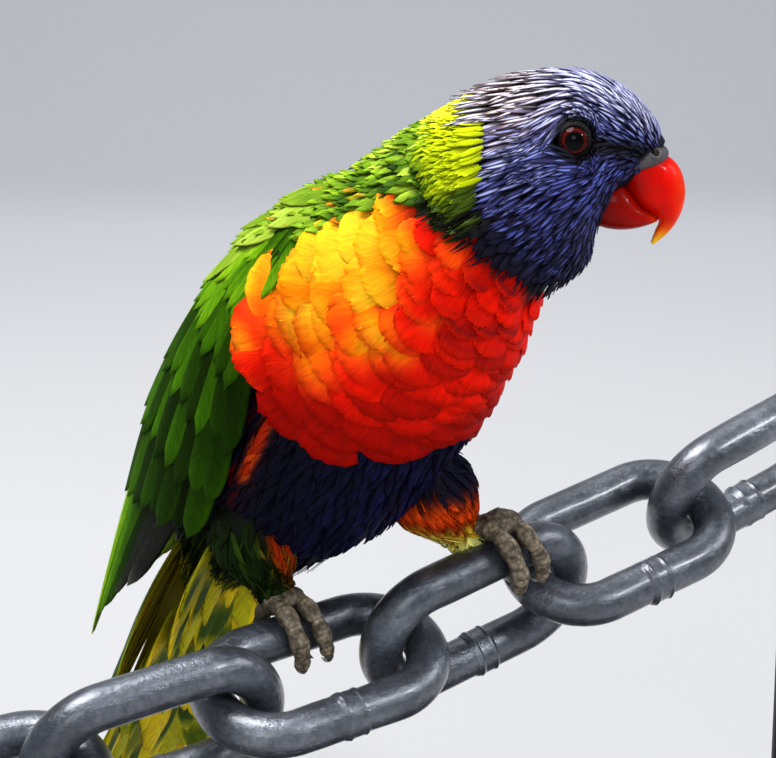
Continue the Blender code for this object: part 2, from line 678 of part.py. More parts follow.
def foot(side, number, distance, palm_turn, ankle, finish, claw_finish, thigh_side=1):
    """A parrot's foot round a bar: two toes before, two behind, a palm above and the shank up to the ankle."""
    hold = WIRE / 2 + GAP + TOE_RADIUS
    pieces, claws = [], []

    def wrap_point(along_bar, angle, radius):
        centre, _, outward, normal = link_point(number, distance + along_bar)
        a = math.radians(angle + palm_turn)
        return centre + radius * (math.cos(a) * outward + math.sin(a) * normal)

    for toe, at, drift, first, last, size in FOOT_TOES:
        t = np.linspace(0, 1, 8)
        angles = first * 0.2 + (last - first * 0.2) * t
        bulge = 1 + 0.10 * np.cos(6 * math.pi * t)
        radii = TOE_RADIUS * size * bulge * np.interp(t, (0, 0.9, 1), (1.0, 0.82, 0.5))
        path = [wrap_point((at + drift * k) * MM, a, WIRE / 2 + GAP + TOE_RADIUS * size * 1.08)
                for k, a in zip(t, angles)]
        pieces.append(rounded_tube(f"{toe}_{side}", path, radii, 7, finish))
        way = math.copysign(1, last - first)
        span = np.linspace(0, 1, 5)
        claw_radius = WIRE / 2 + GAP + TOE_RADIUS * size * 1.05
        start = last + way * 3.5
        claw_path = [wrap_point((at + drift * (1 + 0.1 * k)) * MM, start + way * 34 * k,
                                claw_radius + (0.9 - 1.2 * k) * MM) for k in span]
        claw_size = np.interp(span, (0, 0.5, 1), (1.15, 0.85, 0.2)) * MM
        claws.append(rounded_tube(f"claw_{side}_{toe[-1]}", claw_path, claw_size, 6, claw_finish))
    palm_at = wrap_point(0, 0, hold + 0.5 * MM)
    _, along, outward, _ = link_point(number, distance)
    axes = np.array([along, np.cross(outward, along), outward])
    palm = ball(f"foot_{side}", palm_at, (5.0 * MM, 4.6 * MM, 2.7 * MM), finish, 12, 7, axes)
    ankle = bird_point(np.array(ankle) * MM)
    t = np.linspace(0, 1, 5)[:, None]
    shank_path = palm_at * (1 - t) + ankle * t
    shank = TARSUS_RADIUS * np.array([1.25, 1.0, 0.95, 1.0, 1.15])
    pieces.append(rounded_tube(f"shank_{side}", shank_path, shank, 8, finish))
    boolean(palm, pieces, "UNION")
    cutters = [wire_cutter(number, 1, distance, 22 * MM, finish), wire_cutter(number + 1, -1, -18 * MM, 24 * MM, finish)]
    boolean(palm, cutters, "DIFFERENCE")
    shade(palm)
    for claw in claws:
        shade(claw)
    return palm


def thigh(side, finish, grow=0.0):
    """Feathered thigh, a soft cone from the hip to just above the ankle."""
    ankle, hip = (np.array(p) * MM for p in LEGS[side][3:])
    ankle = ankle * 0.9 + hip * 0.1
    t = np.array([0, 0.25, 0.5, 0.75, 0.92, 1.0])
    path = bird_point(hip + np.outer(t, ankle - hip))
    radii = np.array([10.5, 11.8, 11.0, 8.6, 6.2, 4.6]) * MM + grow
    return rounded_tube(f"thigh_{side}", path, radii, 14, finish)


# Link number, millimetres along its upper bar, turn of the palm from the bar's outward side,
# ankle and hip in the bird's frame
LEGS = {
    "right": (2, -0.8, 56, (-12.7, -9.4, 3.4), (-12.5, -16.2, 21.5)),
    "left": (3, 9.0, -14, (16.8, 25.2, 15.0), (13.0, 15.0, 30.5)),
}


def legs(finishes):
    for side, (number, distance, turn, ankle, hip) in LEGS.items():
        foot(side, number, distance * MM, turn, ankle, finishes["foot"], finishes["claw"])
        leg = thigh(side, finishes["thigh"])
        body = body_piece("body_cutter", 0, NECK_FROM, 14, 24, finishes["torso"], grow=GAP)
        shank_path = [bird_point(np.array(ankle) * MM * (1 - k) + np.array(hip) * MM * k) for k in (-0.5, 0.1, 0.6)]
        shank = rounded_tube("shank_cutter", shank_path, TARSUS_RADIUS * 1.3 + GAP, 10, finishes["foot"])
        boolean(leg, [body, shank], "DIFFERENCE")
        shade(leg)


def build():
    clear_scene()
    finishes = {
        "steel": material("dark_steel", (0.10, 0.11, 0.13), 0.42, 0.8),
        "stand": material("stand_black", (0.04, 0.04, 0.045), 0.5),
        "head": material("blue_plumage", (0.07, 0.08, 0.38), 0.7),
        "collar": material("lime_plumage", (0.50, 0.62, 0.02), 0.7),
        "torso": material("orange_plumage", (0.85, 0.14, 0.01), 0.7),
        "wing": material("green_plumage", (0.06, 0.28, 0.02), 0.6),
        "tail": material("tail_plumage", (0.32, 0.36, 0.03), 0.6),
        "thigh": material("thigh_plumage", (0.30, 0.20, 0.03), 0.7),
        "bill": material("red_bill", (0.72, 0.04, 0.02), 0.3),
        "cere": material("grey_cere", (0.16, 0.13, 0.14), 0.6),
        "eye": material("eye", (0.10, 0.02, 0.015), 0.1),
        "foot": material("grey_foot", (0.22, 0.20, 0.17), 0.8),
        "claw": material("dark_claw", (0.05, 0.04, 0.035), 0.4),
    }
    rounded_slab("stand_base", BASE_LENGTH, BASE_WIDTH, BASE_THICKNESS, BASE_CORNER, finishes["stand"])
    stand_rod("stand_rod_left", 0, -15 * MM, finishes["stand"])
    stand_rod("stand_rod_right", len(LINKS) - 1, 18 * MM, finishes["stand"])
    for number in range(len(LINKS)):
        chain_link(number, finishes["steel"])

    bill_and_head(finishes)
    shade(body_piece("neck", NECK_FROM, NECK_TO, 6, 24, finishes["collar"]))
    shade(body_piece("torso", 0, NECK_FROM, 14, 24, finishes["torso"]))
    for hand, side in (("left", 1), ("right", -1)):
        made = wing(f"wing_{hand}", side, finishes["wing"])
        body = body_piece("body_cutter", 0, NECK_FROM + 0.5, 14, 24, finishes["torso"], grow=GAP)
        boolean(made, [body, thigh(hand, finishes["thigh"], GAP * 1.4)], "DIFFERENCE")
        shade(made, 30)
    whole_tail = boolean(tail(finishes["tail"]), [under_tail(finishes["tail"])], "UNION")
    body = body_piece("body_cutter", 0, NECK_FROM, 14, 24, finishes["torso"], grow=GAP)
    boolean(whole_tail, [body], "DIFFERENCE")
    for hand, side in (("left", 1), ("right", -1)):
        boolean(whole_tail, [wing_cutter(side, finishes["wing"])], "DIFFERENCE")
        boolean(whole_tail, [thigh(hand, finishes["thigh"], GAP * 1.4)], "DIFFERENCE")
    shade(whole_tail, 30)
    legs(finishes)


build()
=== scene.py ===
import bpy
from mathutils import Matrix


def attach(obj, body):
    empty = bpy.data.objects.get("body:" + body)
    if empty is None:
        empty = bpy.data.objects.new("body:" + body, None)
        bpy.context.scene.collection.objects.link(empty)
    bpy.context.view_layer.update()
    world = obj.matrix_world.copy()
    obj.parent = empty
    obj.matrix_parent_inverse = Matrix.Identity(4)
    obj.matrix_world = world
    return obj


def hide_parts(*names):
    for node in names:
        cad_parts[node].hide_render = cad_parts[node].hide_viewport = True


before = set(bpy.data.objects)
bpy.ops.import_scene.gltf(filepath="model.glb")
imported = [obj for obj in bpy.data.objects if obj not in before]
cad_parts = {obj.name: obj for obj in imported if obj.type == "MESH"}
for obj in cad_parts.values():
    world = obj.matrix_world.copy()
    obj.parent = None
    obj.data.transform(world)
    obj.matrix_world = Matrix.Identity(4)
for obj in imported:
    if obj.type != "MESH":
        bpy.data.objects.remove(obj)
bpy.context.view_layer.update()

import math

import bpy
import numpy as np
from mathutils import Vector

print("frame loaded:", len(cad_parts), "nodes")


# Small helpers


def unit(v):
    return v / np.maximum(np.linalg.norm(v, axis=-1, keepdims=True), 1e-9)


# 0 below the first edge, 1 above the second, an S curve between
def smooth(value, low=0.0, high=1.0):
    t = np.clip((value - low) / (high - low), 0, 1)
    return t * t * (3 - 2 * t)


# a bell of height 1 at the centre
def bell(value, centre, width):
    return np.exp(-(((value - centre) / width) ** 2))


# equal angles round a full turn
def circle(count):
    return np.linspace(0, 2 * math.pi, count, endpoint=False)


def gridOf(rows, columns):
    return np.meshgrid(rows, columns, indexing="ij")


def mix(a, b, share):
    share = np.asarray(share)[..., None]
    return np.asarray(a) * (1 - share) + np.asarray(b) * share


# rows read at fractional row numbers, along a cubic through them whose slopes are the rows' own differences
def spline(rows, at):
    rows, at = np.asarray(rows, float), np.asarray(at, float)
    slopes = np.gradient(rows, axis=0)
    i = np.clip(np.floor(at).astype(int), 0, len(rows) - 2)
    t = (at - i)[..., None]
    return (
        (2 * t**3 - 3 * t**2 + 1) * rows[i]
        + (t**3 - 2 * t**2 + t) * slopes[i]
        + (3 * t**2 - 2 * t**3) * rows[i + 1]
        + (t**3 - t**2) * slopes[i + 1]
    )


# screen colours, 0 to 1, turned into the linear values that a mesh attribute holds
def linear(colour):
    colour = np.clip(colour, 0, 1)
    return np.where(colour <= 0.04045, colour / 12.92, ((colour + 0.055) / 1.055) ** 2.4)


# quads between neighbouring rows and columns of a grid; either way may run round and close on itself
def gridFaces(rows, columns, closeRows=False, closeColumns=False):
    i, j = gridOf(np.arange(rows - (not closeRows)), np.arange(columns - (not closeColumns)))
    i, j = i.ravel(), j.ravel()
    iNext, jNext = (i + 1) % rows, (j + 1) % columns
    return np.stack([i * columns + j, i * columns + jNext, iNext * columns + jNext, iNext * columns + j], -1)


# one mesh from points, faces with four corners (a repeated last corner makes a triangle), colours and maps
def putMesh(name, points, quads, material, tint=None, maps=None, node=(), slot=None):
    tri = (quads[:, 2] == quads[:, 3]) | (quads[:, 0] == quads[:, 1])
    threes = np.array([list(dict.fromkeys(quad)) for quad in quads[tri].tolist()], int)
    corners = np.concatenate([quads[~tri].ravel(), threes.ravel()])
    sizes = np.concatenate([np.full((~tri).sum(), 4), np.full(tri.sum(), 3)])
    mesh = bpy.data.meshes.new(name)
    mesh.vertices.add(len(points))
    mesh.vertices.foreach_set("co", (np.asarray(points, np.float32) * 0.001).ravel())
    mesh.loops.add(len(corners))
    mesh.loops.foreach_set("vertex_index", corners.astype(np.int32))
    mesh.polygons.add(len(sizes))
    mesh.polygons.foreach_set("loop_start", np.concatenate([[0], np.cumsum(sizes)[:-1]]).astype(np.int32))
    mesh.update(calc_edges=True)
    mesh.validate(clean_customdata=False)
    for title, values in (maps or {}).items():
        layer = mesh.uv_layers.new(name=title)
        layer.data.foreach_set("uv", np.asarray(values, np.float32)[corners].ravel())
    if tint is not None:
        layer = mesh.color_attributes.new("coatTint", "FLOAT_COLOR", "POINT")
        rgba = np.concatenate([linear(tint), np.ones((len(tint), 1))], 1)
        layer.data.foreach_set("color", rgba.astype(np.float32).ravel())
    mesh.materials.append(material)
    mesh.shade_smooth()
    piece = bpy.data.objects.new(name, mesh)
    bpy.context.scene.collection.objects.link(piece)
    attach(piece, "root")
    if node:
        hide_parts(*node)
    print(f"{name}: {2 * (~tri).sum() + tri.sum()} triangles")
    return piece


# rings round a path: a radius (rows by sides) away, turning from the first way towards the second
def ringsRound(path, radius, first, second):
    a = circle(radius.shape[1])[:, None]
    return path[:, None] + radius[..., None] * (np.cos(a) * first[:, None] + np.sin(a) * second[:, None])


# rings across a path that start from the upward way
def tubeRings(path, radius, up):
    tangent = unit(np.gradient(path, axis=0))
    across = unit(np.cross(tangent, up))
    return ringsRound(path, radius, np.cross(across, tangent), across)


# a closed mesh's faces, turned round if they point inwards by the sign of its volume
def outwards(points, faces):
    middle = points.mean(0)
    a, b, c, d = (points[faces[:, k]] - middle for k in range(4))
    volume = (np.einsum("ij,ij->i", a, np.cross(b, c)) + np.einsum("ij,ij->i", a, np.cross(c, d))).sum()
    return faces[:, ::-1] if volume < 0 else faces


# a tube of rings, closed by a point in the middle of each end ring
def closedTube(rings):
    rows, sides = rings.shape[:2]
    points = np.concatenate([rings.reshape(-1, 3), rings[0].mean(0)[None], rings[-1].mean(0)[None]])
    j = np.arange(sides)
    after, last = (j + 1) % sides, (rows - 1) * sides
    front, back = 0 * j + len(points) - 2, 0 * j + len(points) - 1
    return points, outwards(points, np.concatenate([
        gridFaces(rows, sides, closeColumns=True),
        np.stack([after, j, front, front], -1),
        np.stack([last + j, last + after, back, back], -1),
    ]))


# a closed tube's colours, with those of its two end points
def capped(colour):
    return np.concatenate([colour.reshape(-1, 3), colour[0, :1], colour[-1, :1]])


def putTube(name, rings, material, colour, maps=None, **more):
    points, faces = closedTube(rings)
    return putMesh(name, points, faces, material, capped(colour), maps, **more)


# The surfaces that everything lies on

bird = {
    "at": (-10.0, 7.9, 119.0),
    "scale": 1.035,
    "heading": -72.4,
    "eyesAt": (59.0, 12.6, 112.9),
    "headTurn": 41.0,
    # forward, left, up, half width, depth above and below, pitch and turn of each section
    "sections": (
        (-52.0, 0.0, -7.0, 5.0, 4.0, 4.5, 52, 0),
        (-46.5, 0.0, -0.5, 10.0, 7.5, 9.0, 52, 0),
        (-38.5, 0.0, 8.5, 16.0, 12.5, 15.5, 51, 0),
        (-27.5, 0.0, 21.5, 22.5, 19.0, 24.0, 50, 0),
        (-12.0, 0.0, 39.0, 29.0, 25.0, 32.5, 50, 0),
        (7.0, 0.0, 62.5, 31.5, 27.0, 35.0, 51, 0),
        (22.0, 0.5, 79.5, 29.0, 26.0, 32.5, 50, 5),
        (33.0, 2.0, 90.5, 24.5, 24.0, 28.0, 45, 13),
        (42.0, 4.0, 98.0, 20.5, 22.2, 24.5, 39, 23),
        (51.0, 8.0, 105.0, 16.8, 20.2, 23.4, 30, 34),
        (60.5, 13.5, 110.5, 13.6, 16.9, 19.4, 10, 41),
        (66.5, 18.6, 110.8, 10.0, 12.4, 12.0, -6, 42),
        (70.4, 21.9, 109.6, 6.6, 8.0, 7.6, -16, 42),
        (73.0, 24.1, 108.2, 3.6, 4.6, 3.6, -24, 42),
    ),
    # depth of the plumage over the skin, by section number
    "coatAt": (0.0, 3.0, 6.0, 8.0, 9.5, 11.0, 13.0),
    "coatDepth": (1.8, 2.6, 2.6, 2.1, 1.3, 0.9, 0.5),
}


# forward, left and up after a turn about the vertical, as rows
def turnedAxes(degrees):
    a = math.radians(degrees)
    return np.array([[math.cos(a), math.sin(a), 0], [-math.sin(a), math.cos(a), 0], [0, 0, 1]])


birdAxes, headAxes = turnedAxes(bird["heading"]), turnedAxes(bird["headTurn"])


# a place given forward, left and up of the bird's standing point
def birdSpot(place):
    return bird["scale"] * np.asarray(place, float) @ birdAxes + np.array(bird["at"])


# a place given forward, left and up of the point midway between the eyes
def headSpot(place):
    return birdSpot(np.asarray(place, float) @ headAxes + np.array(bird["eyesAt"]))


# the body: u runs through the sections, v goes round each (0 left, a quarter turn the back, a half the
# right); a point is the section's centre + cos v half widths sideways + sin v depths along its upward way
def bodySpot(u, v, grow=0.0):
    row = spline(bird["sections"], u)
    pitch, turn = np.radians(row[..., 6]), np.radians(row[..., 7])
    ahead = np.stack([np.cos(pitch) * np.cos(turn), np.cos(pitch) * np.sin(turn), np.sin(pitch)], -1)
    left = np.stack([-np.sin(turn), np.cos(turn), 0 * turn], -1)
    above = np.cross(ahead, left)
    depth = np.where(np.sin(v) > 0, row[..., 4], row[..., 5])
    return birdSpot(row[..., :3] + (np.cos(v) * (row[..., 3] + grow))[..., None] * left
                    + (np.sin(v) * (depth + grow))[..., None] * above)


# the bare skin lies under the plumage by its depth
def skinSpot(u, v):
    return bodySpot(u, v, -np.interp(u, bird["coatAt"], bird["coatDepth"]))


wingForm = {
    # forward, up, half width and depth of the sleeve, and the angles of the wing's lower and upper edge
    "sections": (
        (25.5, 86.5, 28.0, 24.0, 22, 66),
        (3.0, 61.0, 34.5, 30.5, -3, 74),
        (-23.0, 33.0, 31.0, 29.0, -27, 80),
        (-50.0, 5.0, 22.0, 19.0, -20, 84),
        (-79.5, -30.5, 13.0, 9.0, 14, 80),
    ),
}


# the sleeve that the folded wing on one side lies on: n runs from shoulder to tip, angle (degrees) up from
# the side; an ellipse across the sleeve's own way, as wide as its half width and as deep as its depth
def sleeveSpot(n, angle, hand):
    row = spline(wingForm["sections"], n)
    ahead = spline(wingForm["sections"], n - 0.02) - spline(wingForm["sections"], n + 0.02)
    along = unit(np.stack([ahead[..., 0], 0 * ahead[..., 0], ahead[..., 1]], -1))
    above = np.stack([-along[..., 2], 0 * along[..., 0], along[..., 0]], -1)
    centre = np.stack([row[..., 0], 0 * row[..., 0], row[..., 1]], -1)
    a = np.radians(angle)
    side = np.array([0.0, hand, 0.0])
    return birdSpot(centre + (np.cos(a) * row[..., 2])[..., None] * side
                    + (np.sin(a) * row[..., 3])[..., None] * above)


tailForm = {"root": (-48.0, -1.0, 4.0), "pitch": 62.5, "length": 124.0, "pairs": 6}
tailPitch = math.radians(tailForm["pitch"])
leftWay = np.array([0, 1.0, 0])
tailBack = np.array([-math.cos(tailPitch), 0, -math.sin(tailPitch)])
tailUp = np.cross(leftWay, tailBack)


# the tail's plane: p mm back from its root, q mm to the left, bowed down by 3 mm at the tip and at the sides
def tailSpot(p, q):
    drop = 3.0 * (p / tailForm["length"]) ** 2 + 0.012 * q**2
    return birdSpot(np.array(tailForm["root"]) + p[..., None] * tailBack + q[..., None] * leftWay
                    - drop[..., None] * tailUp)


# Vanes: the one builder for every feather


# points of a surface with its two ways and its outward direction, by small differences
def surfaceFrame(surface, p, q, out):
    step = 0.01 if out["fine"] else 0.5
    stepQ = out.get("stepQ", step)
    spot = surface(p, q)
    wayP = (surface(p + step, q) - surface(p - step, q)) / (2 * step)
    wayQ = (surface(p, q + stepQ) - surface(p, q - stepQ)) / (2 * stepQ)
    return spot, wayP, wayQ, unit(np.cross(wayP, wayQ)) * out["sign"]


# the change of both parameters that moves a point by this direction, from the surface's own metric
def inParameters(direction, wayP, wayQ):
    e, f, g = (wayP * wayP).sum(-1), (wayP * wayQ).sum(-1), (wayQ * wayQ).sum(-1)
    a, b = (direction * wayP).sum(-1), (direction * wayQ).sum(-1)
    det = np.maximum(e * g - f * f, 1e-9)
    return np.stack([g * a - f * b, e * b - f * a], -1) / det[..., None]


# the parameters reached from a root by going a length over the surface, turned from the way to the tail;
# a turn by side is towards the bird's back on both of its sides
def lieFrom(surface, out, root, length, turn, bySide=False):
    at = root
    for _ in range(2):
        _, wayP, wayQ, normal = surfaceFrame(surface, at[:, 0], at[:, 1], out)
        back = -unit(wayP)
        sideways = np.cross(normal, back)
        angle = turn * np.sign((sideways * wayQ).sum(1) * np.cos(at[:, 1])) if bySide else turn
        way = np.cos(angle)[:, None] * back + np.sin(angle)[:, None] * sideways
        step = inParameters(way, wayP, wayQ) * np.reshape(length, (-1, 1))
        at = root + step / 2
    return root + step


# Vanes from roots to tips (both as surface parameters). The middle line runs straight between them in the
# parameters. Across it lies half the width times the outline, bent round at the tip, and outwards a height:
# a rise from root to tip, less a drop towards the edges, with a thin lens as the thickness. All the arrays
# are vanes by places along (t, 0 to 1) by places across (s, -1 to 1).
def layVanes(surface, out, root, tip, half, form, luck):
    rows, columns = form["grid"]
    count = len(root)
    t, s = np.linspace(0, 1, rows)[:, None], np.linspace(-1, 1, columns)
    width, chance = half[:, None, None], luck[:, :, None, None]
    middle = root[:, None] + (tip - root)[:, None] * t
    _, wayP, wayQ, normal = surfaceFrame(surface, middle[..., 0], middle[..., 1], out)
    way = unit((tip - root)[:, None, :1] * wayP + (tip - root)[:, None, 1:] * wayQ)
    toTip, toSide = inParameters(way, wayP, wayQ), inParameters(unit(np.cross(normal, way)), wayP, wayQ)
    wide = width * np.interp(t, *form["outline"]) * s
    bend = form.get("bend", 0.0) * (chance[:, 0] - 0.5) * t**2
    # the tip's ragged end: every column a little longer or shorter, a few of them notched
    own = np.random.default_rng(count)
    ragged = form.get("fray", 0.0) * own.normal(0, 1, (count, 1, columns))
    split = own.random((count, 1, columns)) < 2.2 / columns
    ragged = ragged - form.get("notch", 0.0) * split * own.random((count, 1, columns))
    pull = -form.get("round", 0.0) * width * np.abs(s) ** 2.3 * t**2
    shift = (pull + ragged * t**5)[..., None] * toTip[:, :, None]
    shift = shift + (wide + bend * width)[..., None] * toSide[:, :, None]
    p, q = np.moveaxis(middle[:, :, None] + shift, -1, 0)
    spot, _, _, normal = surfaceFrame(surface, p, q, out)
    low, high = (np.broadcast_to(end, count)[:, None, None] for end in form["rise"])
    rise = low + (high - low) * t ** form.get("power", 0.8)
    rise = rise * (1 + form.get("vary", 0.28) * (chance[:, 1] - 0.5) * t)
    height = rise - form.get("drop", 0.3) * s**2 + form.get("roll", 0.12) * (chance[:, 2] - 0.5) * wide
    lens = form["thick"] / 2 * np.sqrt(np.maximum(1 - s**2, 0)) * (1 - 0.55 * t)
    ridge = form.get("shaft", 0.0) * bell(s, 0, 0.13) * (1 - 0.8 * t)
    top = spot + normal * (height + lens + ridge)[..., None]
    under = spot + normal * (height - lens)[..., None]
    # each row of points goes across the top and back below; the caps join the two at root and tip
    order = np.concatenate([np.arange(columns), np.arange(columns - 2, 0, -1)])
    ring, j = len(order), np.arange(columns - 1)
    cap = np.stack([j, j + 1, (ring - j - 1) % ring, (ring - j) % ring], -1)
    cap[0, 3], cap[-1, 2] = cap[0, 2], cap[-1, 3]
    faces = np.concatenate([gridFaces(rows, ring, closeColumns=True), cap[:, ::-1], cap + (rows - 1) * ring])
    offsets = np.arange(count) * rows * ring
    shape = (count, rows, ring)
    return {
        "points": np.concatenate([top, under[:, :, -2:0:-1]], 2).reshape(-1, 3),
        "faces": (faces[None, :, ::-1] + offsets[:, None, None]).reshape(-1, 4),
        "t": np.broadcast_to(t, shape),
        "s": np.broadcast_to(s[order], shape),
        "p": p[:, :, order],
        "q": q[:, :, order],
        "under": np.broadcast_to(np.arange(ring) >= columns, shape),
        "luck": luck,
        "root": root,
        "length": np.linalg.norm(spot[:, -1, columns // 2] - spot[:, 0, columns // 2], axis=-1),
        "middle": columns // 2,
        "half": half,
    }


# a batch's parameters, its places across and along each vane, and each vane's own chance
def readVanes(made):
    return made["p"], made["q"], made["s"], made["t"], made["luck"][:, 3, None, None] + 0 * made["p"]


# joins batches of vanes into one piece, with its colours and its two maps
def putVanes(name, batches, material, unwrap, **more):
    points, faces, tints, across, bake = [], [], [], [], []
    start = 0
    for made, colour in batches:
        faces.append(made["faces"] + start)
        points.append(made["points"])
        start += len(made["points"])
        tints.append(np.clip(colour, 0, 1).reshape(-1, 3))
        along = made["t"] * made["length"][:, None, None]
        wide = made["s"] * made["half"][:, None, None]
        across.append(np.stack([wide, along + 37.0 * made["luck"][:, 0, None, None]], -1).reshape(-1, 2))
        place = unwrap(made["root"])[:, None, None, :]
        patch = np.stack([0.0015 * made["s"], 0.003 * made["t"]], -1)
        bake.append((place + patch).reshape(-1, 2))
    maps = {"OFBake": np.concatenate(bake), "FeatherMap": np.concatenate(across)}
    return putMesh(name, np.concatenate(points), np.concatenate(faces), material,
                   np.concatenate(tints), maps, **more)


# the body's skin opened out along the belly: length to one side, angle to the other
def unwrapBody(root):
    return np.stack([0.02 + 0.94 * root[:, 0] / 13, 0.02 + 0.94 * (root[:, 1] / (2 * math.pi)) % 0.96], -1)


def unwrapSleeve(root):
    return np.stack([0.04 + 0.9 * root[:, 0] / 4.3, 0.04 + 0.9 * (root[:, 1] + 60) / 170], -1)


def unwrapTail(root):
    return np.stack([0.1 + 0.8 * (root[:, 0] + 20) / 150, 0.5 + 0.4 * root[:, 1] / 30], -1)


# Markings: one rule for the colour of skin and plumage

paint = {
    "headBlue": (0.34, 0.40, 0.83),
    "lilac": (0.60, 0.66, 0.98),
    "pale": (0.92, 0.93, 1.0),
    "headGround": (0.12, 0.115, 0.25),
    "nape": (0.42, 0.29, 0.22),
    "faceDark": (0.035, 0.035, 0.065),
    "throat": (0.10, 0.09, 0.15),
    "throatBlue": (0.24, 0.26, 0.62),
    "yellow": (0.97, 0.74, 0.12),
    "amber": (0.98, 0.52, 0.01),
    "orangeRed": (0.98, 0.24, 0.03),
    "red": (0.90, 0.07, 0.0),
    "redDeep": (0.60, 0.025, 0.0),
    "barDark": (0.16, 0.03, 0.09),
    "navy": (0.045, 0.05, 0.11),
    "violet": (0.12, 0.11, 0.36),
}


# colours joined by straight steps between stops
def ramp(value, stops, colours):
    return np.stack([np.interp(value, stops, [colour[k] for colour in colours]) for k in range(3)], -1)


# angle from the middle of the back, the same on both sides, in degrees
def fromBack(v):
    return np.abs((np.degrees(v) - 90 + 180) % 360 - 180)


# how far the section number lies above the line where the throat ends
def aboveThroatLine(u, w):
    return u - np.interp(w, (60, 75, 96, 119, 140, 160, 180), (7.2, 7.5, 7.75, 7.80, 7.93, 7.85, 7.75))


# the line where the red breast ends and the navy belly starts
def bellyLine(w):
    return np.interp(w, (90, 100, 122, 157, 174, 180), (4.5, 4.6, 4.76, 5.05, 5.3, 5.32))


# the lines where the pale collar ends, towards the mantle and towards the head
def collarBack(w):
    return np.interp(w, (0, 51, 81, 96), (8.2, 8.2, 8.03, 8.0))


def collarFront(w):
    return np.interp(w, (0, 37, 65, 89, 97), (8.98, 8.95, 8.75, 8.38, 8.05))


# breast: spots of gold, each with its place (u, w), its spread in both and its strength, on orange and red
goldSpots = (
    (6.45, 73, 0.90, 26, 1.20), (6.95, 92, 0.42, 16, 0.82), (6.35, 101, 0.55, 14, 0.80),
    (5.78, 90, 0.42, 18, 0.90), (5.98, 116, 0.36, 13, 0.84), (6.03, 132, 0.18, 7, 0.55),
    (6.55, 130, 0.22, 8, 0.50), (5.5, 64, 0.22, 9, 0.95), (5.15, 80, 0.15, 9, 1.00),
    (4.92, 92, 0.12, 7, 0.85), (7.35, 110, 0.5, 16, 0.34), (5.52, 108, 0.38, 14, 0.62),
)


def breastColour(u, w, luck):
    gold = np.max([high * bell(u, at, du) * bell(w, around, dw)
                   for at, around, du, dw, high in goldSpots], axis=0)
    gold = gold + 0.26 * (luck - 0.5) * smooth(gold, 0.0, 0.3)
    colour = ramp(gold, (0.10, 0.34, 0.62, 0.95), [paint[k] for k in ("red", "orangeRed", "amber", "yellow")])
    # darker red towards the belly line and at a patch low on the side: painted shade on the lower breast; a
    # few feathers darker by chance
    deep = 0.9 * smooth(bellyLine(w) + 0.6 - u + 0.3 * (luck - 0.5), 0, 0.5) + 0.4 * smooth(luck, 0.6, 1.0)
    deep = deep + 0.6 * bell(u, 5.0, 0.3) * bell(w, 108, 16)
    return mix(colour, paint["redDeep"], np.clip(deep, 0, 0.9) * smooth(0.4 - gold, 0, 0.3))


# mantle and back: soft clumps from dark to pale green, a few with an orange fleck; lighter along the middle
# of the back as a painted highlight from the light above, and darker down the sides and low on the back as
# painted shade
def mantleColour(u, w, luck):
    value = 0.58 + (0.30 + 0.30 * smooth(u, 6.7, 7.3)) * (luck - 0.5) + 0.14 * np.sin(9.1 * u + 0.11 * w)
    # painted highlight along the middle of the back; painted shade down the sides and low on the back
    value = value + 0.22 * smooth(52 - w, 0, 30)
    value = value - 0.5 * smooth(w, 66, 92) - 0.1 * smooth(4.6 - u, 0, 1)
    colour = ramp(value, (0.0, 0.3, 0.55, 0.8, 1.05), (
        (0.06, 0.10, 0.03), (0.16, 0.27, 0.05), (0.34, 0.49, 0.07), (0.52, 0.66, 0.13), (0.72, 0.79, 0.28)))
    fleck = 0.8 * smooth(luck, 0.90, 0.94) * smooth(7.2 - u, 0, 0.4) * smooth(u, 5.6, 6)
    return mix(colour, (0.80, 0.42, 0.06), fleck)


def collarColour(u, w, luck):
    value = 0.7 * smooth(w + 20 * (luck - 0.5), 10, 62) + 0.3 * smooth(w + 8 * (luck - 0.5), 76, 90)
    colour = ramp(value, (0, 0.35, 0.7, 0.95), (
        (0.95, 0.94, 0.24), (0.84, 0.87, 0.07), (0.70, 0.76, 0.05), (0.24, 0.32, 0.08)))
    greener = smooth(collarBack(w) + 0.16 + 0.2 * (luck - 0.5) - u, 0, 0.2)
    return mix(colour, (0.42, 0.55, 0.06), 0.35 * greener)


# the dusky side of the neck below the collar, with a few pale hairs, the same at every place
def neckColour(_, __, luck):
    return ramp(luck, (0, 0.5, 0.86, 1), (
        (0.06, 0.07, 0.06), (0.13, 0.17, 0.05), (0.30, 0.38, 0.07), (0.50, 0.55, 0.36)))


# belly: navy with violet, dark green towards vent and flank, a strip of red feathers beside the wing
def bellyColour(u, w, luck):
    colour = mix(paint["navy"], paint["violet"], 0.35 * smooth(w, 120, 170) * luck)
    green = ramp(luck, (0, 0.6, 1), ((0.045, 0.07, 0.03), (0.08, 0.14, 0.035), (0.16, 0.24, 0.05)))
    colour = mix(colour, green, smooth(3.35 - u - 0.012 * (w - 110) + 0.5 * (luck - 0.5), 0, 0.5))
    vent = ramp(luck, (0, 0.5, 1), ((0.12, 0.20, 0.04), (0.42, 0.48, 0.07), (0.72, 0.68, 0.12)))
    colour = mix(colour, vent, smooth(2.05 - u + 0.5 * (luck - 0.5), 0, 0.6))
    hint = bell(w, 103, 9) * bell(u, 4.1, 0.6) * smooth(luck, 0.62, 0.7)
    colour = mix(colour, (0.42, 0.03, 0.02), 0.9 * hint)
    strip = smooth(4.0 - np.abs(w - 108 - 3 * (4.45 - u)), 0, 3) * smooth(u, 3.95, 4.2)
    return mix(colour, ramp(luck, (0, 1), ((0.72, 0.12, 0.03), (0.92, 0.36, 0.06))), strip)


def headColour(u, w, luck):
    nape = bell(u, 9.2, 0.6) * smooth(84 - w, 0, 34)
    colour = mix(paint["headGround"], paint["nape"], nape * (0.5 + 0.5 * luck))
    return mix(colour, paint["throat"], smooth(w, 100, 150))


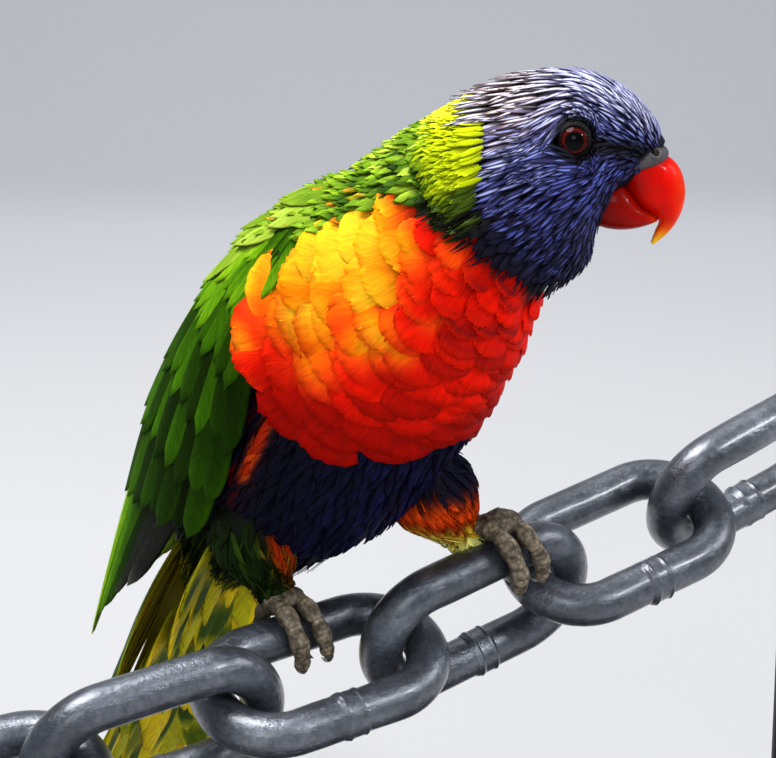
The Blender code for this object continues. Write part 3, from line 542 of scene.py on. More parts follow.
# all regions together, for the skin below the plumage
def skinColour(u, v):
    w = fromBack(v)
    half = np.full_like(u, 0.35)
    split = np.interp(u, (4.0, 5.0, 6.0, 6.5, 7.1, 7.5, 7.8), (96, 80, 61, 64, 61, 73, 98))
    colour = mix(mantleColour(u, w, half), breastColour(u, w, half), smooth(w, split - 3, split + 3))
    belly = smooth(bellyLine(w) - u, -0.03, 0.05) * smooth(w, 84, 96)
    collar = smooth(u, collarBack(w), collarBack(w) + 0.1) * smooth(w, 99, 88)
    colour = mix(mix(colour, bellyColour(u, w, half), belly), collarColour(u, w, half), collar)
    upper = smooth(u, collarFront(w) - 0.05, collarFront(w) + 0.05) * smooth(w, 98, 90)
    upper = np.maximum(upper, smooth(aboveThroatLine(u, w), -0.02, 0.04) * smooth(w, 88, 98))
    return mix(colour, headColour(u, w, half), upper)


# Materials


# links or values put into a node's sockets, by name or number
def feed(tree, sockets, values):
    for key, value in values.items():
        if isinstance(value, bpy.types.NodeSocket):
            tree.links.new(value, sockets[key])
        else:
            sockets[key].default_value = value


def newMaterial(name, **fixed):
    material = bpy.data.materials.new(name)
    material.use_nodes = True
    tree = material.node_tree
    shader = tree.nodes["Principled BSDF"].inputs
    feed(tree, shader, {socket.replace("_", " "): value for socket, value in fixed.items()})
    return material, tree, shader


def addNode(tree, kind, inputs=None, **settings):
    node = tree.nodes.new(kind)
    for key, value in settings.items():
        setattr(node, key, value)
    feed(tree, node.inputs, inputs or {})
    return node.outputs


def mathNode(tree, operation, a, b=0.0, c=0.0):
    return addNode(tree, "ShaderNodeMath", {0: a, 1: b, 2: c}, operation=operation)[0]


def blendNode(tree, kind, share, a, b):
    return addNode(tree, "ShaderNodeMix", {0: share, 6: a, 7: b}, data_type="RGBA", blend_type=kind)[2]


def noiseNode(tree, place, scale, detail, rough=0.5):
    values = {"Vector": place, "Scale": scale, "Detail": detail, "Roughness": rough}
    return addNode(tree, "ShaderNodeTexNoise", values)[0]


# a value between low and high, spread over another stretch
def rangeNode(tree, value, low, high, toLow=0.0, toHigh=1.0):
    values = {"Value": value, "From Min": low, "From Max": high, "To Min": toLow, "To Max": toHigh}
    return addNode(tree, "ShaderNodeMapRange", values)[0]


# a colour times a grey
def shadeNode(tree, colour, gain):
    grey = addNode(tree, "ShaderNodeCombineXYZ", {0: gain, 1: gain, 2: gain})[0]
    return blendNode(tree, "MULTIPLY", 1.0, colour, grey)


def bumpNode(tree, height, strength, distance):
    return addNode(tree, "ShaderNodeBump", {"Height": height, "Strength": strength, "Distance": distance})[0]


def objectPlace(tree):
    return addNode(tree, "ShaderNodeTexCoord")["Object"]


# a node group whose inputs are a tint and named values, and whose outputs are colour, height and roughness
def newGroup(name, values):
    tree = bpy.data.node_groups.new(name, "ShaderNodeTree")
    tree.interface.new_socket("Tint", in_out="INPUT", socket_type="NodeSocketColor")
    for title, value in values.items():
        tree.interface.new_socket(title, in_out="INPUT", socket_type="NodeSocketFloat").default_value = value
    for title, kind in (("Color", "Color"), ("Height", "Float"), ("Roughness", "Float")):
        tree.interface.new_socket(title, in_out="OUTPUT", socket_type="NodeSocket" + kind)
    return tree, tree.nodes.new("NodeGroupInput").outputs, tree.nodes.new("NodeGroupOutput").inputs


# barbs: fine streaks that lean from the shaft towards the tip, read from the vane's own map in millimetres
def makeBarbGroup():
    tree, source, sink = newGroup("barbs", {"Contrast": 0.3, "Lean": 0.4})
    place = addNode(tree, "ShaderNodeUVMap", uv_map="FeatherMap")[0]
    aside, along, _ = addNode(tree, "ShaderNodeSeparateXYZ", {0: place})
    away = mathNode(tree, "ABSOLUTE", aside)
    sine, cosine = (mathNode(tree, wave, source["Lean"]) for wave in ("SINE", "COSINE"))
    over = mathNode(tree, "SUBTRACT", mathNode(tree, "MULTIPLY", away, cosine),
                    mathNode(tree, "MULTIPLY", along, sine))
    down = mathNode(tree, "ADD", mathNode(tree, "MULTIPLY", away, sine),
                    mathNode(tree, "MULTIPLY", along, cosine))
    streak = addNode(tree, "ShaderNodeCombineXYZ", {
        0: over, 1: mathNode(tree, "MULTIPLY", down, 0.10), 2: mathNode(tree, "SIGN", aside)})[0]
    fine, broad = noiseNode(tree, streak, 2.6, 2.0), noiseNode(tree, streak, 0.9, 1.0)
    both = mathNode(tree, "MULTIPLY_ADD", fine, 0.6, mathNode(tree, "MULTIPLY", broad, 0.4))
    centred = mathNode(tree, "SUBTRACT", both, 0.5)
    gain = mathNode(tree, "MULTIPLY_ADD", mathNode(tree, "MULTIPLY", centred, source["Contrast"]), 5.0, 1.0)
    feed(tree, sink, {"Color": shadeNode(tree, source["Tint"], gain), "Height": both,
                      "Roughness": mathNode(tree, "MULTIPLY_ADD", both, 0.3, 0.45)})
    return tree


# grain: coarse noise with finer noise or with cells, for a tint broken in colour, height and roughness
def makeGrainGroup(name, cells):
    tree, source, sink = newGroup(name, {"Scale": 900.0, "Fine Scale": 5400.0, "Gain": 1.0, "Base": 0.5})
    place = objectPlace(tree)
    coarse = noiseNode(tree, place, source["Scale"], 4.0)
    gain = mathNode(tree, "MULTIPLY_ADD", mathNode(tree, "SUBTRACT", coarse, 0.5), source["Gain"], 1.0)
    if cells:
        values = {"Vector": place, "Scale": source["Fine Scale"]}
        fine = addNode(tree, "ShaderNodeTexVoronoi", values)["Distance"]
        gain = mathNode(tree, "MULTIPLY", gain, mathNode(tree, "MULTIPLY_ADD", fine, -1.3, 1.55))
    else:
        fine = noiseNode(tree, place, source["Fine Scale"], 2.0)
    both = mathNode(tree, "MULTIPLY_ADD", fine, 0.5, mathNode(tree, "MULTIPLY", coarse, 0.5))
    feed(tree, sink, {"Color": shadeNode(tree, source["Tint"], gain), "Height": both,
                      "Roughness": mathNode(tree, "MULTIPLY_ADD", coarse, 0.2, source["Base"])})
    return tree


# a material that puts the piece's own tint through a group, with the group's height as its relief
def makeTinted(name, group, values, strength, distance, **fixed):
    material, tree, shader = newMaterial(name, **fixed)
    tint = addNode(tree, "ShaderNodeAttribute", attribute_name="coatTint")["Color"]
    made = tree.nodes.new("ShaderNodeGroup")
    made.node_tree = group
    feed(tree, made.inputs, dict(values, Tint=tint))
    feed(tree, shader, {"Base Color": made.outputs["Color"], "Roughness": made.outputs["Roughness"],
                        "Normal": bumpNode(tree, made.outputs["Height"], strength, distance)})
    return material


barbGroup = makeBarbGroup()
coatMaterials = {
    coat: makeTinted(coat + "Plumage", barbGroup, {"Contrast": contrast, "Lean": lean}, bump, 0.0004,
                     Specular_IOR_Level=sheen)
    for coat, contrast, lean, bump, sheen in (
        ("head", 0.25, 0.15, 0.3, 0.12), ("soft", 0.42, 0.30, 0.5, 0.04), ("collar", 0.16, 0.30, 0.2, 0.02),
        ("breast", 0.22, 0.32, 0.4, 0.04), ("wing", 0.34, 0.55, 0.4, 0.01), ("tail", 0.34, 0.6, 0.4, 0.12),
    )
}
grainGroup, cellGroup = makeGrainGroup("grain", False), makeGrainGroup("cells", True)


# skin and horn: the finer grain is so many times the scale of the coarse one
def makeHide(name, scale, bump, roughness, contrast=0.25, finer=6, group=grainGroup, **fixed):
    values = {"Scale": scale, "Fine Scale": scale * finer, "Gain": contrast * 4, "Base": roughness - 0.1}
    return makeTinted(name, group, values, bump, 0.0003, **fixed)


skinMaterial = makeHide("bareSkin", 900.0, 0.4, 0.65, Specular_IOR_Level=0.12)
billMaterial = makeHide("billHorn", 260.0, 0.12, 0.36, 0.16, Specular_IOR_Level=0.04, Coat_Weight=0.10,
                        Coat_Roughness=0.12)
cereMaterial = makeHide("cereSkin", 900.0, 0.6, 0.5, 0.3)
footMaterial = makeHide("footSkin", 420.0, 1.0, 0.6, 0.8, 2.2, cellGroup, Specular_IOR_Level=0.25)
clawMaterial = makeHide("clawHorn", 500.0, 0.2, 0.35, 0.2, Coat_Weight=0.4, Coat_Roughness=0.2)
eyeMaterial = makeHide("eyeSurface", 700.0, 0.0, 0.2, 0.1, Specular_IOR_Level=0.0, Coat_Weight=0.15,
                       Coat_Roughness=0.02)


# worn steel: dark scale with a rubbed sheen, pits, streaks along the wire and a few specks of rust
def makeSteel():
    material, tree, shader = newMaterial("chainSteel", Specular_IOR_Level=0.9, Coat_Weight=0.6,
                                         Coat_Roughness=0.22)
    place = objectPlace(tree)
    worn, pits = noiseNode(tree, place, 55.0, 6.0, 0.62), noiseNode(tree, place, 620.0, 5.0, 0.7)
    turned = addNode(tree, "ShaderNodeMapping", {"Vector": place, "Scale": (0.25, 1.0, 1.6),
                                                 "Rotation": (0.0, math.radians(-35), 0.0)})[0]
    scratches = noiseNode(tree, turned, 900.0, 3.0)
    spots = rangeNode(tree, noiseNode(tree, place, 130.0, 5.0, 0.7), 0.66, 0.74)
    light = rangeNode(tree, worn, 0.35, 0.68)
    steel = blendNode(tree, "MIX", light, (0.036, 0.043, 0.058, 1), (0.150, 0.168, 0.205, 1))
    steel = shadeNode(tree, steel, rangeNode(tree, pits, 0.3, 0.7, 0.55, 1.4))
    steel = blendNode(tree, "MIX", mathNode(tree, "MULTIPLY", spots, 0.5), steel, (0.20, 0.095, 0.045, 1))
    rough = mathNode(tree, "MULTIPLY_ADD", light, -0.08, 0.33)
    height = mathNode(tree, "MULTIPLY_ADD", pits, 0.7, mathNode(tree, "MULTIPLY", scratches, 0.4))
    height = mathNode(tree, "MULTIPLY_ADD", worn, 0.8, height)
    feed(tree, shader, {"Base Color": steel, "Metallic": mathNode(tree, "MULTIPLY_ADD", spots, -0.4, 0.65),
                        "Roughness": mathNode(tree, "MULTIPLY_ADD", spots, 0.3, rough),
                        "Normal": bumpNode(tree, height, 0.55, 0.0006)})
    return material


# the stand's black powder coat: fine orange peel and a little dust
def makePowderCoat():
    material, tree, shader = newMaterial("standPowderCoat", Specular_IOR_Level=0.4)
    place = objectPlace(tree)
    peel, dust = noiseNode(tree, place, 900.0, 2.0), noiseNode(tree, place, 40.0, 6.0)
    black = blendNode(tree, "MIX", rangeNode(tree, dust, 0.45, 0.8, 0.0, 0.25), (0.016, 0.016, 0.018, 1),
                      (0.06, 0.06, 0.062, 1))
    feed(tree, shader, {"Base Color": black, "Roughness": mathNode(tree, "MULTIPLY_ADD", dust, 0.25, 0.35),
                        "Normal": bumpNode(tree, peel, 0.25, 0.0003)})
    return material


steelMaterial, standMaterial = makeSteel(), makePowderCoat()
print("materials made")


# Skin

eyeForm = {"ahead": 0.7, "aside": 10.6, "ball": 4.2, "lidOpening": 3.5, "pupil": 1.75, "iris": 2.85}
eyeCentres = [headSpot((eyeForm["ahead"], side * eyeForm["aside"], 0)) for side in (1, -1)]
headFore, headSide, _ = headAxes @ birdAxes


# distance of points from the nearer eye's axis, in the head's side plane, and which side they are on
def fromEye(points):
    side = np.sign((points - (eyeCentres[0] + eyeCentres[1]) / 2) @ headSide)
    centre = np.where(side[..., None] > 0, eyeCentres[0], eyeCentres[1])
    apart = points - centre
    flat = apart - (apart @ headSide)[..., None] * headSide
    return np.linalg.norm(flat, axis=-1), side


# the skin: the body's surface under the plumage, sunk to a socket at each eye with a low fold round it
def makeSkin():
    u = np.concatenate([np.linspace(0, 8, 90, endpoint=False), np.linspace(8, 13, 130)])
    uu, vv = gridOf(u, circle(260))
    spot, _, _, normal = surfaceFrame(skinSpot, uu, vv, bodyOut)
    apart, _ = fromEye(spot)
    near = (uu > 8.5) & (np.abs((spot - headSpot((0, 0, 0))) @ headSide) > 5)
    fold = 0.2 * bell(apart, 4.6, 0.35)
    sink = -3.2 * smooth(eyeForm["lidOpening"] + 0.9 - apart, 0, 1.0)
    spot = spot + normal * np.where(near, fold + sink, 0)[..., None]
    # the skin's colour is halved, less so under the collar: painted shade under the plumage, seen in the gaps
    # between feathers
    collar = smooth(uu, 8.0, 8.3) * smooth(uu, 9.1, 8.7) * smooth(fromBack(vv), 92, 84)
    colour = skinColour(uu, vv) * (0.5 + 0.35 * collar)[..., None]
    colour = mix(colour, paint["faceDark"], np.where(near, smooth(6.6 - apart, 0, 1.2), 0))
    flat = np.stack([uu / 13, vv / (2 * math.pi)], -1).reshape(-1, 2) * 0.94 + 0.02
    maps = {"OFBake": np.concatenate([flat, [[0.02, 0.5], [0.96, 0.5]]])}
    return putTube("skin", spot, skinMaterial, colour, maps, node=("torso", "neck", "head"),
                   slot="orange_plumage")


# the sign that makes a surface's cross product of ways point outwards, found at one place
def outwardSign(surface, p, q, inside):
    spot = surface(np.array([p]), np.array([q]))[0]
    wayP = surface(np.array([p + 0.01]), np.array([q]))[0] - spot
    wayQ = surface(np.array([p]), np.array([q + 0.01]))[0] - spot
    return 1.0 if np.cross(wayP, wayQ) @ (spot - inside) > 0 else -1.0


farSide = bodySpot(np.array([5.0]), np.array([3.0 + math.pi]))[0]
bodyOut = {"fine": True, "sign": outwardSign(bodySpot, 5.0, 3.0, farSide)}
makeSkin()


# Plumage of the body

random = np.random.default_rng(20)


# Roots spread evenly over a stretch of the body: rows a spacing apart along the side, each divided evenly
# round its own circumference, every other row set over by half a space, and all moved a little by chance.
def spreadRoots(low, high, alongGap, acrossGap, jitter=0.2):
    fine = np.linspace(low, high, 400)
    line = skinSpot(fine, np.full(400, math.pi))
    length = np.concatenate([[0], np.cumsum(np.linalg.norm(np.diff(line, axis=0), axis=1))])
    gap = np.interp(fine, *alongGap) if isinstance(alongGap, tuple) else np.full(400, alongGap)
    count = np.concatenate([[0], np.cumsum(np.diff(length) / gap[1:])])
    rows = np.interp(np.arange(int(count[-1]) + 1), count, fine)
    roots = []
    around = np.linspace(0, 2 * math.pi, 97)
    for number, u in enumerate(rows):
        ring = skinSpot(np.full(97, u), around)
        reach = np.concatenate([[0], np.cumsum(np.linalg.norm(np.diff(ring, axis=0), axis=1))])
        wide = np.interp(u, *acrossGap) if isinstance(acrossGap, tuple) else acrossGap
        many = max(int(round(reach[-1] / wide)), 3)
        at = (np.arange(many) + 0.5 * (number % 2)) / many * reach[-1]
        at = at + random.normal(0, jitter * wide, many)
        v = np.interp(at % reach[-1], reach, around)
        step = (rows[min(number + 1, len(rows) - 1)] - rows[max(number - 1, 0)]) / 2
        roots.append(np.stack([u + random.normal(0, 1.3 * jitter * step, many), v], -1))
    roots = np.concatenate(roots)
    roots[:, 0] = np.clip(roots[:, 0], 0.15, 12.9)
    return roots


# lays one coat: roots spread, tips found along the lie, and only the vanes kept whose tips are in the region
def layCoat(form, surface, region, lie=None, depthAdd=0.2):
    stretch = (form[key] for key in ("from", "to", "alongGap", "acrossGap"))
    roots = spreadRoots(*stretch, form.get("jitter", 0.2))
    luck = random.random((len(roots), 4))
    u, w = roots[:, 0], fromBack(roots[:, 1])
    even, vary = ((0, 1), (1, 1)), 1 + form.get("vary", 0.28) * (luck - 0.5)
    length = form["length"] * np.interp(u, *form.get("lengthAt", even)) * vary[:, 1]
    half = form["half"] * np.interp(u, *form.get("halfAt", even)) * vary[:, 2]
    turn = (lie(u, w) if lie else 0.0) + random.normal(0, form.get("stray", 0.1), len(roots))
    tips = lieFrom(surface, bodyOut, roots, length, turn, True)
    tips[:, 0] = np.maximum(tips[:, 0], 0.04)
    kept = region(tips[:, 0], fromBack(tips[:, 1]), roots)
    roots, tips, half, luck = roots[kept], tips[kept], half[kept], luck[kept]
    depth = np.interp(roots[:, 0], bird["coatAt"], bird["coatDepth"])
    return layVanes(surface, bodyOut, roots, tips, half, dict(form, rise=(-0.4, depth + depthAdd)), luck)


leaf = ((0, 0.15, 0.4, 0.7, 0.88, 1), (0.45, 0.75, 1.0, 0.9, 0.6, 0.16))
lance = ((0, 0.2, 0.5, 0.8, 1), (0.5, 0.95, 1.0, 0.62, 0.10))
hair = ((0, 0.3, 0.7, 1), (0.8, 1.0, 0.7, 0.08))
scale = ((0, 0.2, 0.5, 0.8, 0.92, 1), (0.42, 0.72, 0.95, 1.0, 0.95, 0.80))


# forward, left and up of the point midway between the eyes, for points in the frame
def headLocal(spot):
    inBird = (spot - np.array(bird["at"])) @ birdAxes.T / bird["scale"]
    return (inBird - np.array(bird["eyesAt"])) @ headAxes.T


# the way that feathers lie round the eye: a stream past a round post, as an angle from the way to the tail
def eyeStream(roots):
    spot, wayP, _, normal = surfaceFrame(skinSpot, roots[:, 0], roots[:, 1], bodyOut)
    back = -unit(wayP)
    sideways = np.cross(normal, back)
    _, side = fromEye(spot)
    apart = spot - np.where(side[:, None] > 0, eyeCentres[0], eyeCentres[1])
    x, y = (apart * back).sum(1), (apart * sideways).sum(1)
    far = np.maximum(x**2 + y**2, 1.0)
    ahead = x + 3.0 * smooth(x, -4, 1)
    reach = np.maximum(ahead**2 + y**2, 18.0)
    post = 4.4**2
    turn = np.arctan2(-2 * post * ahead * y / reach**2, 1 - post * (ahead**2 - y**2) / reach**2)
    turn = turn * (1 - 0.75 * smooth(x, 0, 5))
    return np.where(far < 400, np.clip(turn, -1.0, 1.0), 0.0), np.sqrt(far), x


headCoat = {
    "grid": (6, 5), "outline": lance, "drop": 0.10, "thick": 0.14, "power": 0.75, "roll": 0.3, "bend": 0.7,
    "alongGap": ((8, 9.5, 11, 13), (2.6, 2.4, 1.7, 1.0)),
    "acrossGap": ((8, 9.5, 11, 13), (0.92, 0.84, 0.76, 0.68)), "length": 8.2, "half": 0.58,
}


# extra roots in rings round each eye: the skin's places nearest to circles about the eye's axis
def eyeRingRoots():
    uu, vv = gridOf(np.linspace(9.0, 12.4, 170), circle(500))
    inHead = headLocal(skinSpot(uu, vv)).reshape(-1, 3)
    a = circle(56)
    found = []
    for side in (1, -1):
        for number, far in enumerate((4.25, 4.9, 5.7, 6.6)):
            turn = a + 0.056 * number + random.normal(0, 0.03, len(a))
            x, z = eyeForm["ahead"] + far * np.cos(turn), far * np.sin(turn)
            gap = (inHead[None, :, 0] - x[:, None]) ** 2 + (inHead[None, :, 2] - z[:, None]) ** 2
            found.append(np.where(inHead[None, :, 1] * side > 3, gap, 1e6).argmin(1))
    found = np.concatenate(found)
    return np.stack([uu.ravel()[found], vv.ravel()[found]], -1)


def makeHeadCoat():
    roots = spreadRoots(8.6, 12.9, headCoat["alongGap"], headCoat["acrossGap"], 0.3)
    roots = np.concatenate([roots, eyeRingRoots()])
    spot = skinSpot(roots[:, 0], roots[:, 1])
    apart, _ = fromEye(spot)
    inHead = headLocal(spot)
    billEdge = np.interp(inHead[:, 2], (-17, -8.6, -8, -4.4), (2.5, 4.0, 6.0, 13.0))
    inBill = (inHead[:, 0] > billEdge + 6.5) & (inHead[:, 2] < -5.4)
    roots = roots[(apart > 3.9) & ~inBill]
    luck = random.random((len(roots), 4))
    turn, apart, x = eyeStream(roots)
    w = fromBack(roots[:, 1])
    length = headCoat["length"] * np.interp(roots[:, 0], (8.5, 10, 11.5, 13), (1.1, 1.0, 0.6, 0.28))
    length = length * np.interp(w, (0, 60, 120, 170), (1.1, 0.95, 0.72, 0.62)) * (0.8 + 0.4 * luck[:, 1])
    length = np.where(x < 0, np.minimum(length, 1.1 + 0.8 * (apart - 3.9)), length)
    half = headCoat["half"] * np.interp(roots[:, 0], (8.5, 11, 13), (1.1, 0.9, 0.7))
    half = half * (0.8 + 0.4 * luck[:, 2]) * np.interp(w, (90, 150), (1.0, 1.25))
    turn = turn + random.normal(0, 0.11, len(roots))
    tips = lieFrom(skinSpot, bodyOut, roots, length, turn)
    tipW = fromBack(tips[:, 1])
    kept = (tips[:, 0] > collarFront(tipW) - 0.38 + 0.08 * random.normal(0, 1, len(roots))) & (
        (tipW < 94) | (aboveThroatLine(tips[:, 0], tipW) > 0.5))
    roots, tips, half, luck = roots[kept], tips[kept], half[kept], luck[kept]
    depth = np.interp(roots[:, 0], bird["coatAt"], bird["coatDepth"])
    high = depth + 0.25 + 1.1 * smooth(9.9 - tips[:, 0], 0, 0.9)
    made = layVanes(skinSpot, bodyOut, roots, tips, half, dict(headCoat, rise=(-0.25, high)), luck)
    u, v, s, t, chance = readVanes(made)
    w = fromBack(v)
    spot = skinSpot(u, v)
    apart, _ = fromEye(spot)
    local = headLocal(spot)
    ground = headColour(u, w, chance)
    # paler towards the top of the crown, in ground and streaks: the streaks' own lilac with a painted
    # highlight from the light above
    ground = mix(ground, (0.50, 0.50, 0.68), 0.85 * smooth(60 - w, 0, 34) * smooth(u, 9.4, 10.2))
    crown = smooth(74 - w + 24 * (chance - 0.5), 0, 40) * smooth(12.6 - u, 0, 0.8)
    streak = mix(paint["headBlue"], paint["lilac"], smooth(118 - w + 50 * (chance - 0.5), 0, 70))
    streak = mix(streak, paint["pale"], crown)
    streak = mix(streak, paint["headBlue"], 0.7 * smooth(u, 11.2, 12.4) * smooth(w, 40, 76))
    streak = mix(streak, paint["pale"], 0.7 * smooth(9.9 - u, 0, 0.8) * smooth(112 - w, 0, 40) * chance)
    pale = np.maximum(crown, 0.8 * smooth(9.9 - u, 0, 0.7) * smooth(112 - w, 0, 40))
    strength = smooth(0.62 + 0.1 * pale - np.abs(s), 0, 0.55) * smooth(t, 0.05, 0.3)
    strength = strength * smooth(1.05 - t, 0, 0.3)
    strength = strength * (0.4 + 0.6 * smooth(chance + 0.3 * pale, 0.25, 0.6))
    strength = strength * (1 - 0.35 * smooth(w, 110, 150))
    band = bell(local[..., 2] + 0.2 * (local[..., 0] - 5), -1.0, 1.9) * smooth(local[..., 0], 2.0, 5.0)
    dark = np.maximum(0.95 * np.clip(1.2 * band, 0, 1), 0.95 * smooth(5.2 - apart, 0, 0.9))
    strength = strength * (1 - 0.92 * dark)
    ground = mix(ground, paint["faceDark"], dark)
    colour = mix(ground, streak, strength)
    return putVanes("head_plumage", [(made, colour)], coatMaterials["head"], unwrapBody, slot="blue_plumage")


makeHeadCoat()

throatCoat = {
    "grid": (8, 7), "outline": leaf, "drop": 0.25, "thick": 0.18, "fray": 0.3, "notch": 0.6, "power": 0.8,
    "roll": 0.2, "round": 0.1, "bend": 0.5, "from": 7.9, "to": 10.6, "alongGap": 2.9, "acrossGap": 1.9,
    "length": 8.4, "lengthAt": ((8, 9, 9.6, 10.5), (1.15, 1.0, 0.7, 0.5)), "half": 1.45,
    "halfAt": ((8, 10), (1.15, 0.85)),
}
fringeCoat = {
    "grid": (6, 3), "outline": hair, "drop": 0.05, "thick": 0.14, "power": 0.9, "roll": 0.1, "bend": 3.0,
    "from": 7.95, "to": 8.9, "alongGap": 1.6, "acrossGap": 1.1, "length": 6.4, "half": 0.24, "stray": 0.2,
}


def makeThroatCoat():
    def throat(u, w, roots):
        spot = headLocal(skinSpot(roots[:, 0], roots[:, 1]))
        bare = (spot[:, 0] > 7.0) & (spot[:, 2] < -8.5)
        top = np.interp(w, (88, 97, 130, 180), (8.35, 8.6, 9.1, 9.5))
        return (w > 90) & (u < top) & (aboveThroatLine(u, w) > 0.0) & ~bare

    def fringe(u, w, roots):
        return (w > 84) & (w < 165) & (np.abs(aboveThroatLine(u, w)) < 0.16)

    batches = []
    for form, region, add in ((throatCoat, throat, 0.9), (fringeCoat, fringe, 1.0)):
        made = layCoat(form, skinSpot, region, depthAdd=add)
        u, v, s, t, chance = readVanes(made)
        w = fromBack(v)
        ground = mix(paint["throat"], (0.05, 0.055, 0.075), 0.6 * chance)
        ground = mix(ground, (0.16, 0.17, 0.10), 0.6 * smooth(112 - w, 0, 14) * smooth(8.5 - u, 0, 0.3))
        blue = mix(paint["throatBlue"], paint["lilac"], 0.35 * smooth(chance, 0.5, 1.0))
        strength = smooth(0.62 - np.abs(s), 0, 0.45) * smooth(t, 0.2, 0.5) * (1 - 0.5 * smooth(t, 0.85, 1.0))
        strength = strength * smooth(u - 0.8 * smooth(112 - w, 0, 16), 7.9, 9.0) * (0.2 + 0.8 * chance)
        if form is fringeCoat:
            strength = 0.35 * smooth(chance, 0.7, 0.9) * smooth(t, 0.5, 1.0)
            blue = np.array([0.45, 0.45, 0.5])
        batches.append((made, mix(ground, blue, strength)))
    return putVanes("throat_plumage", batches, coatMaterials["soft"], unwrapBody, slot="blue_plumage")


makeThroatCoat()

softCoat = {
    "grid": (7, 7), "outline": leaf, "drop": 0.2, "thick": 0.16, "fray": 0.3, "power": 0.8, "roll": 0.25,
    "round": 0.15, "bend": 0.7, "notch": 0.4,
}
collarCoat = dict(softCoat, **{
    "from": 8.0, "to": 9.7, "alongGap": 1.1, "acrossGap": 0.8, "length": 5.6, "half": 0.72, "stray": 0.09,
    "power": 1.1, "grid": (6, 5), "thick": 0.08, "drop": 0.06, "roll": 0.06, "bend": 0.3, "vary": 0.16,
})
mantleCoat = dict(softCoat, **{
    "from": 5.2, "to": 9.1, "alongGap": 2.05, "acrossGap": 1.7, "length": 7.6, "half": 1.45, "stray": 0.18,
    "grid": (6, 5), "fray": 0.35, "drop": 0.2, "power": 1.0,
})
neckCoat = dict(collarCoat, half=0.4, length=6.6, alongGap=1.3, acrossGap=0.9, stray=0.16, vary=0.4)
backCoat = dict(softCoat, **{
    "from": 0.5, "to": 5.8, "alongGap": 4.4, "acrossGap": 4.2, "length": 14.0, "half": 3.7, "grid": (8, 9),
})


# the line where the breast meets the green of mantle and wing, as an angle from the back
def breastEdge(u):
    return np.interp(u, (4.6, 4.75, 4.85, 5.0, 5.2, 5.4, 5.6, 5.75, 5.95, 6.5, 7.1, 7.5, 7.8, 8.1),
                     (112, 106, 98, 89, 79, 69, 61, 61, 65, 65, 62, 76, 97, 100))


# collar, mantle, back and rump: soft leaves that lie close; on the shoulders they run out over the wings
def makeMantleCoat():
    def collar(u, w, roots):
        near = (u > collarBack(w) - 0.16) & (roots[:, 0] < collarFront(w) + 0.14)
        return near & (w < 93) & (u < collarFront(w) - 0.05 + 0.09 * np.sin(31 * w))

    def neck(u, w, roots):
        above = aboveThroatLine(u, w)
        return (w > 82) & (w < 103) & (u > 7.5) & (u < 8.3) & (above < 0.3) & (above > -0.12)

    def mantle(u, w, roots):
        near = (w < breastEdge(u)) & (u < collarBack(w) - 0.1) & (roots[:, 0] < collarBack(w) + 0.4)
        return near & ((u > 6.05) | ((w < 46) & (u > 5.4)))

    def back(u, w, roots):
        return (w < 70) & (u < 5.3)

    batches = []
    for form, surface, region, colours, add in (
        (collarCoat, coverSpot, collar, collarColour, 0.1), (neckCoat, coverSpot, neck, neckColour, 0.7),
        (mantleCoat, coverSpot, mantle, mantleColour, 0.4), (backCoat, skinSpot, back, mantleColour, 0.2),
    ):
        made = layCoat(form, surface, region, depthAdd=add)
        u, v, s, t, chance = readVanes(made)
        # each leaf lighter at its edges and tip and darker at its base: painted shade where it lies under the
        # leaves above
        edge = np.clip(smooth(np.abs(s), 0.5, 1.0) + smooth(t, 0.7, 1.0), 0, 1) * (1 - made["under"])
        gain = 0.05 if form is collarCoat else 0.22
        colour = colours(u, fromBack(v), chance) * (1 - 0.5 * gain + gain * edge)[..., None]
        colour = colour * (1 - 2 * gain * (1 - smooth(t, 0.1, 0.6)))[..., None]
        batches.append((made, colour))
    putVanes("collar_plumage", batches[:1], coatMaterials["collar"], unwrapBody, slot="lime_plumage")
    return putVanes("mantle_plumage", batches[1:], coatMaterials["soft"], unwrapBody, slot="lime_plumage")


breastCoat = {
    "grid": (9, 23), "outline": scale, "drop": 1.0, "thick": 0.12, "fray": 0.20, "notch": 1.0, "power": 1.2,
    "roll": 0.05, "round": 0.22, "bend": 0.12, "from": 4.9, "to": 8.6, "acrossGap": 9.0,
    "alongGap": ((5, 6.8, 7.4, 8.6), (3.9, 3.7, 2.9, 2.6)),
    "jitter": 0.10, "length": 15.0, "lengthAt": ((5, 7, 8, 9), (1.05, 0.9, 0.66, 0.5)), "half": 8.8,
    "halfAt": ((5, 6.5, 7.5, 8), (1.05, 0.95, 0.66, 0.5)), "stray": 0.06, "vary": 0.18,
}


# the breast's feathers fan out: towards the wing at the side, towards the belly's middle below
def breastLie(u, w):
    turn = np.interp(w, (45, 75, 90, 100, 112, 135, 150, 165, 180), (20, 28, 34, 28, 18, 0, -14, -12, 0))
    return np.radians(turn * smooth(8.2 - u, 0, 1.0))


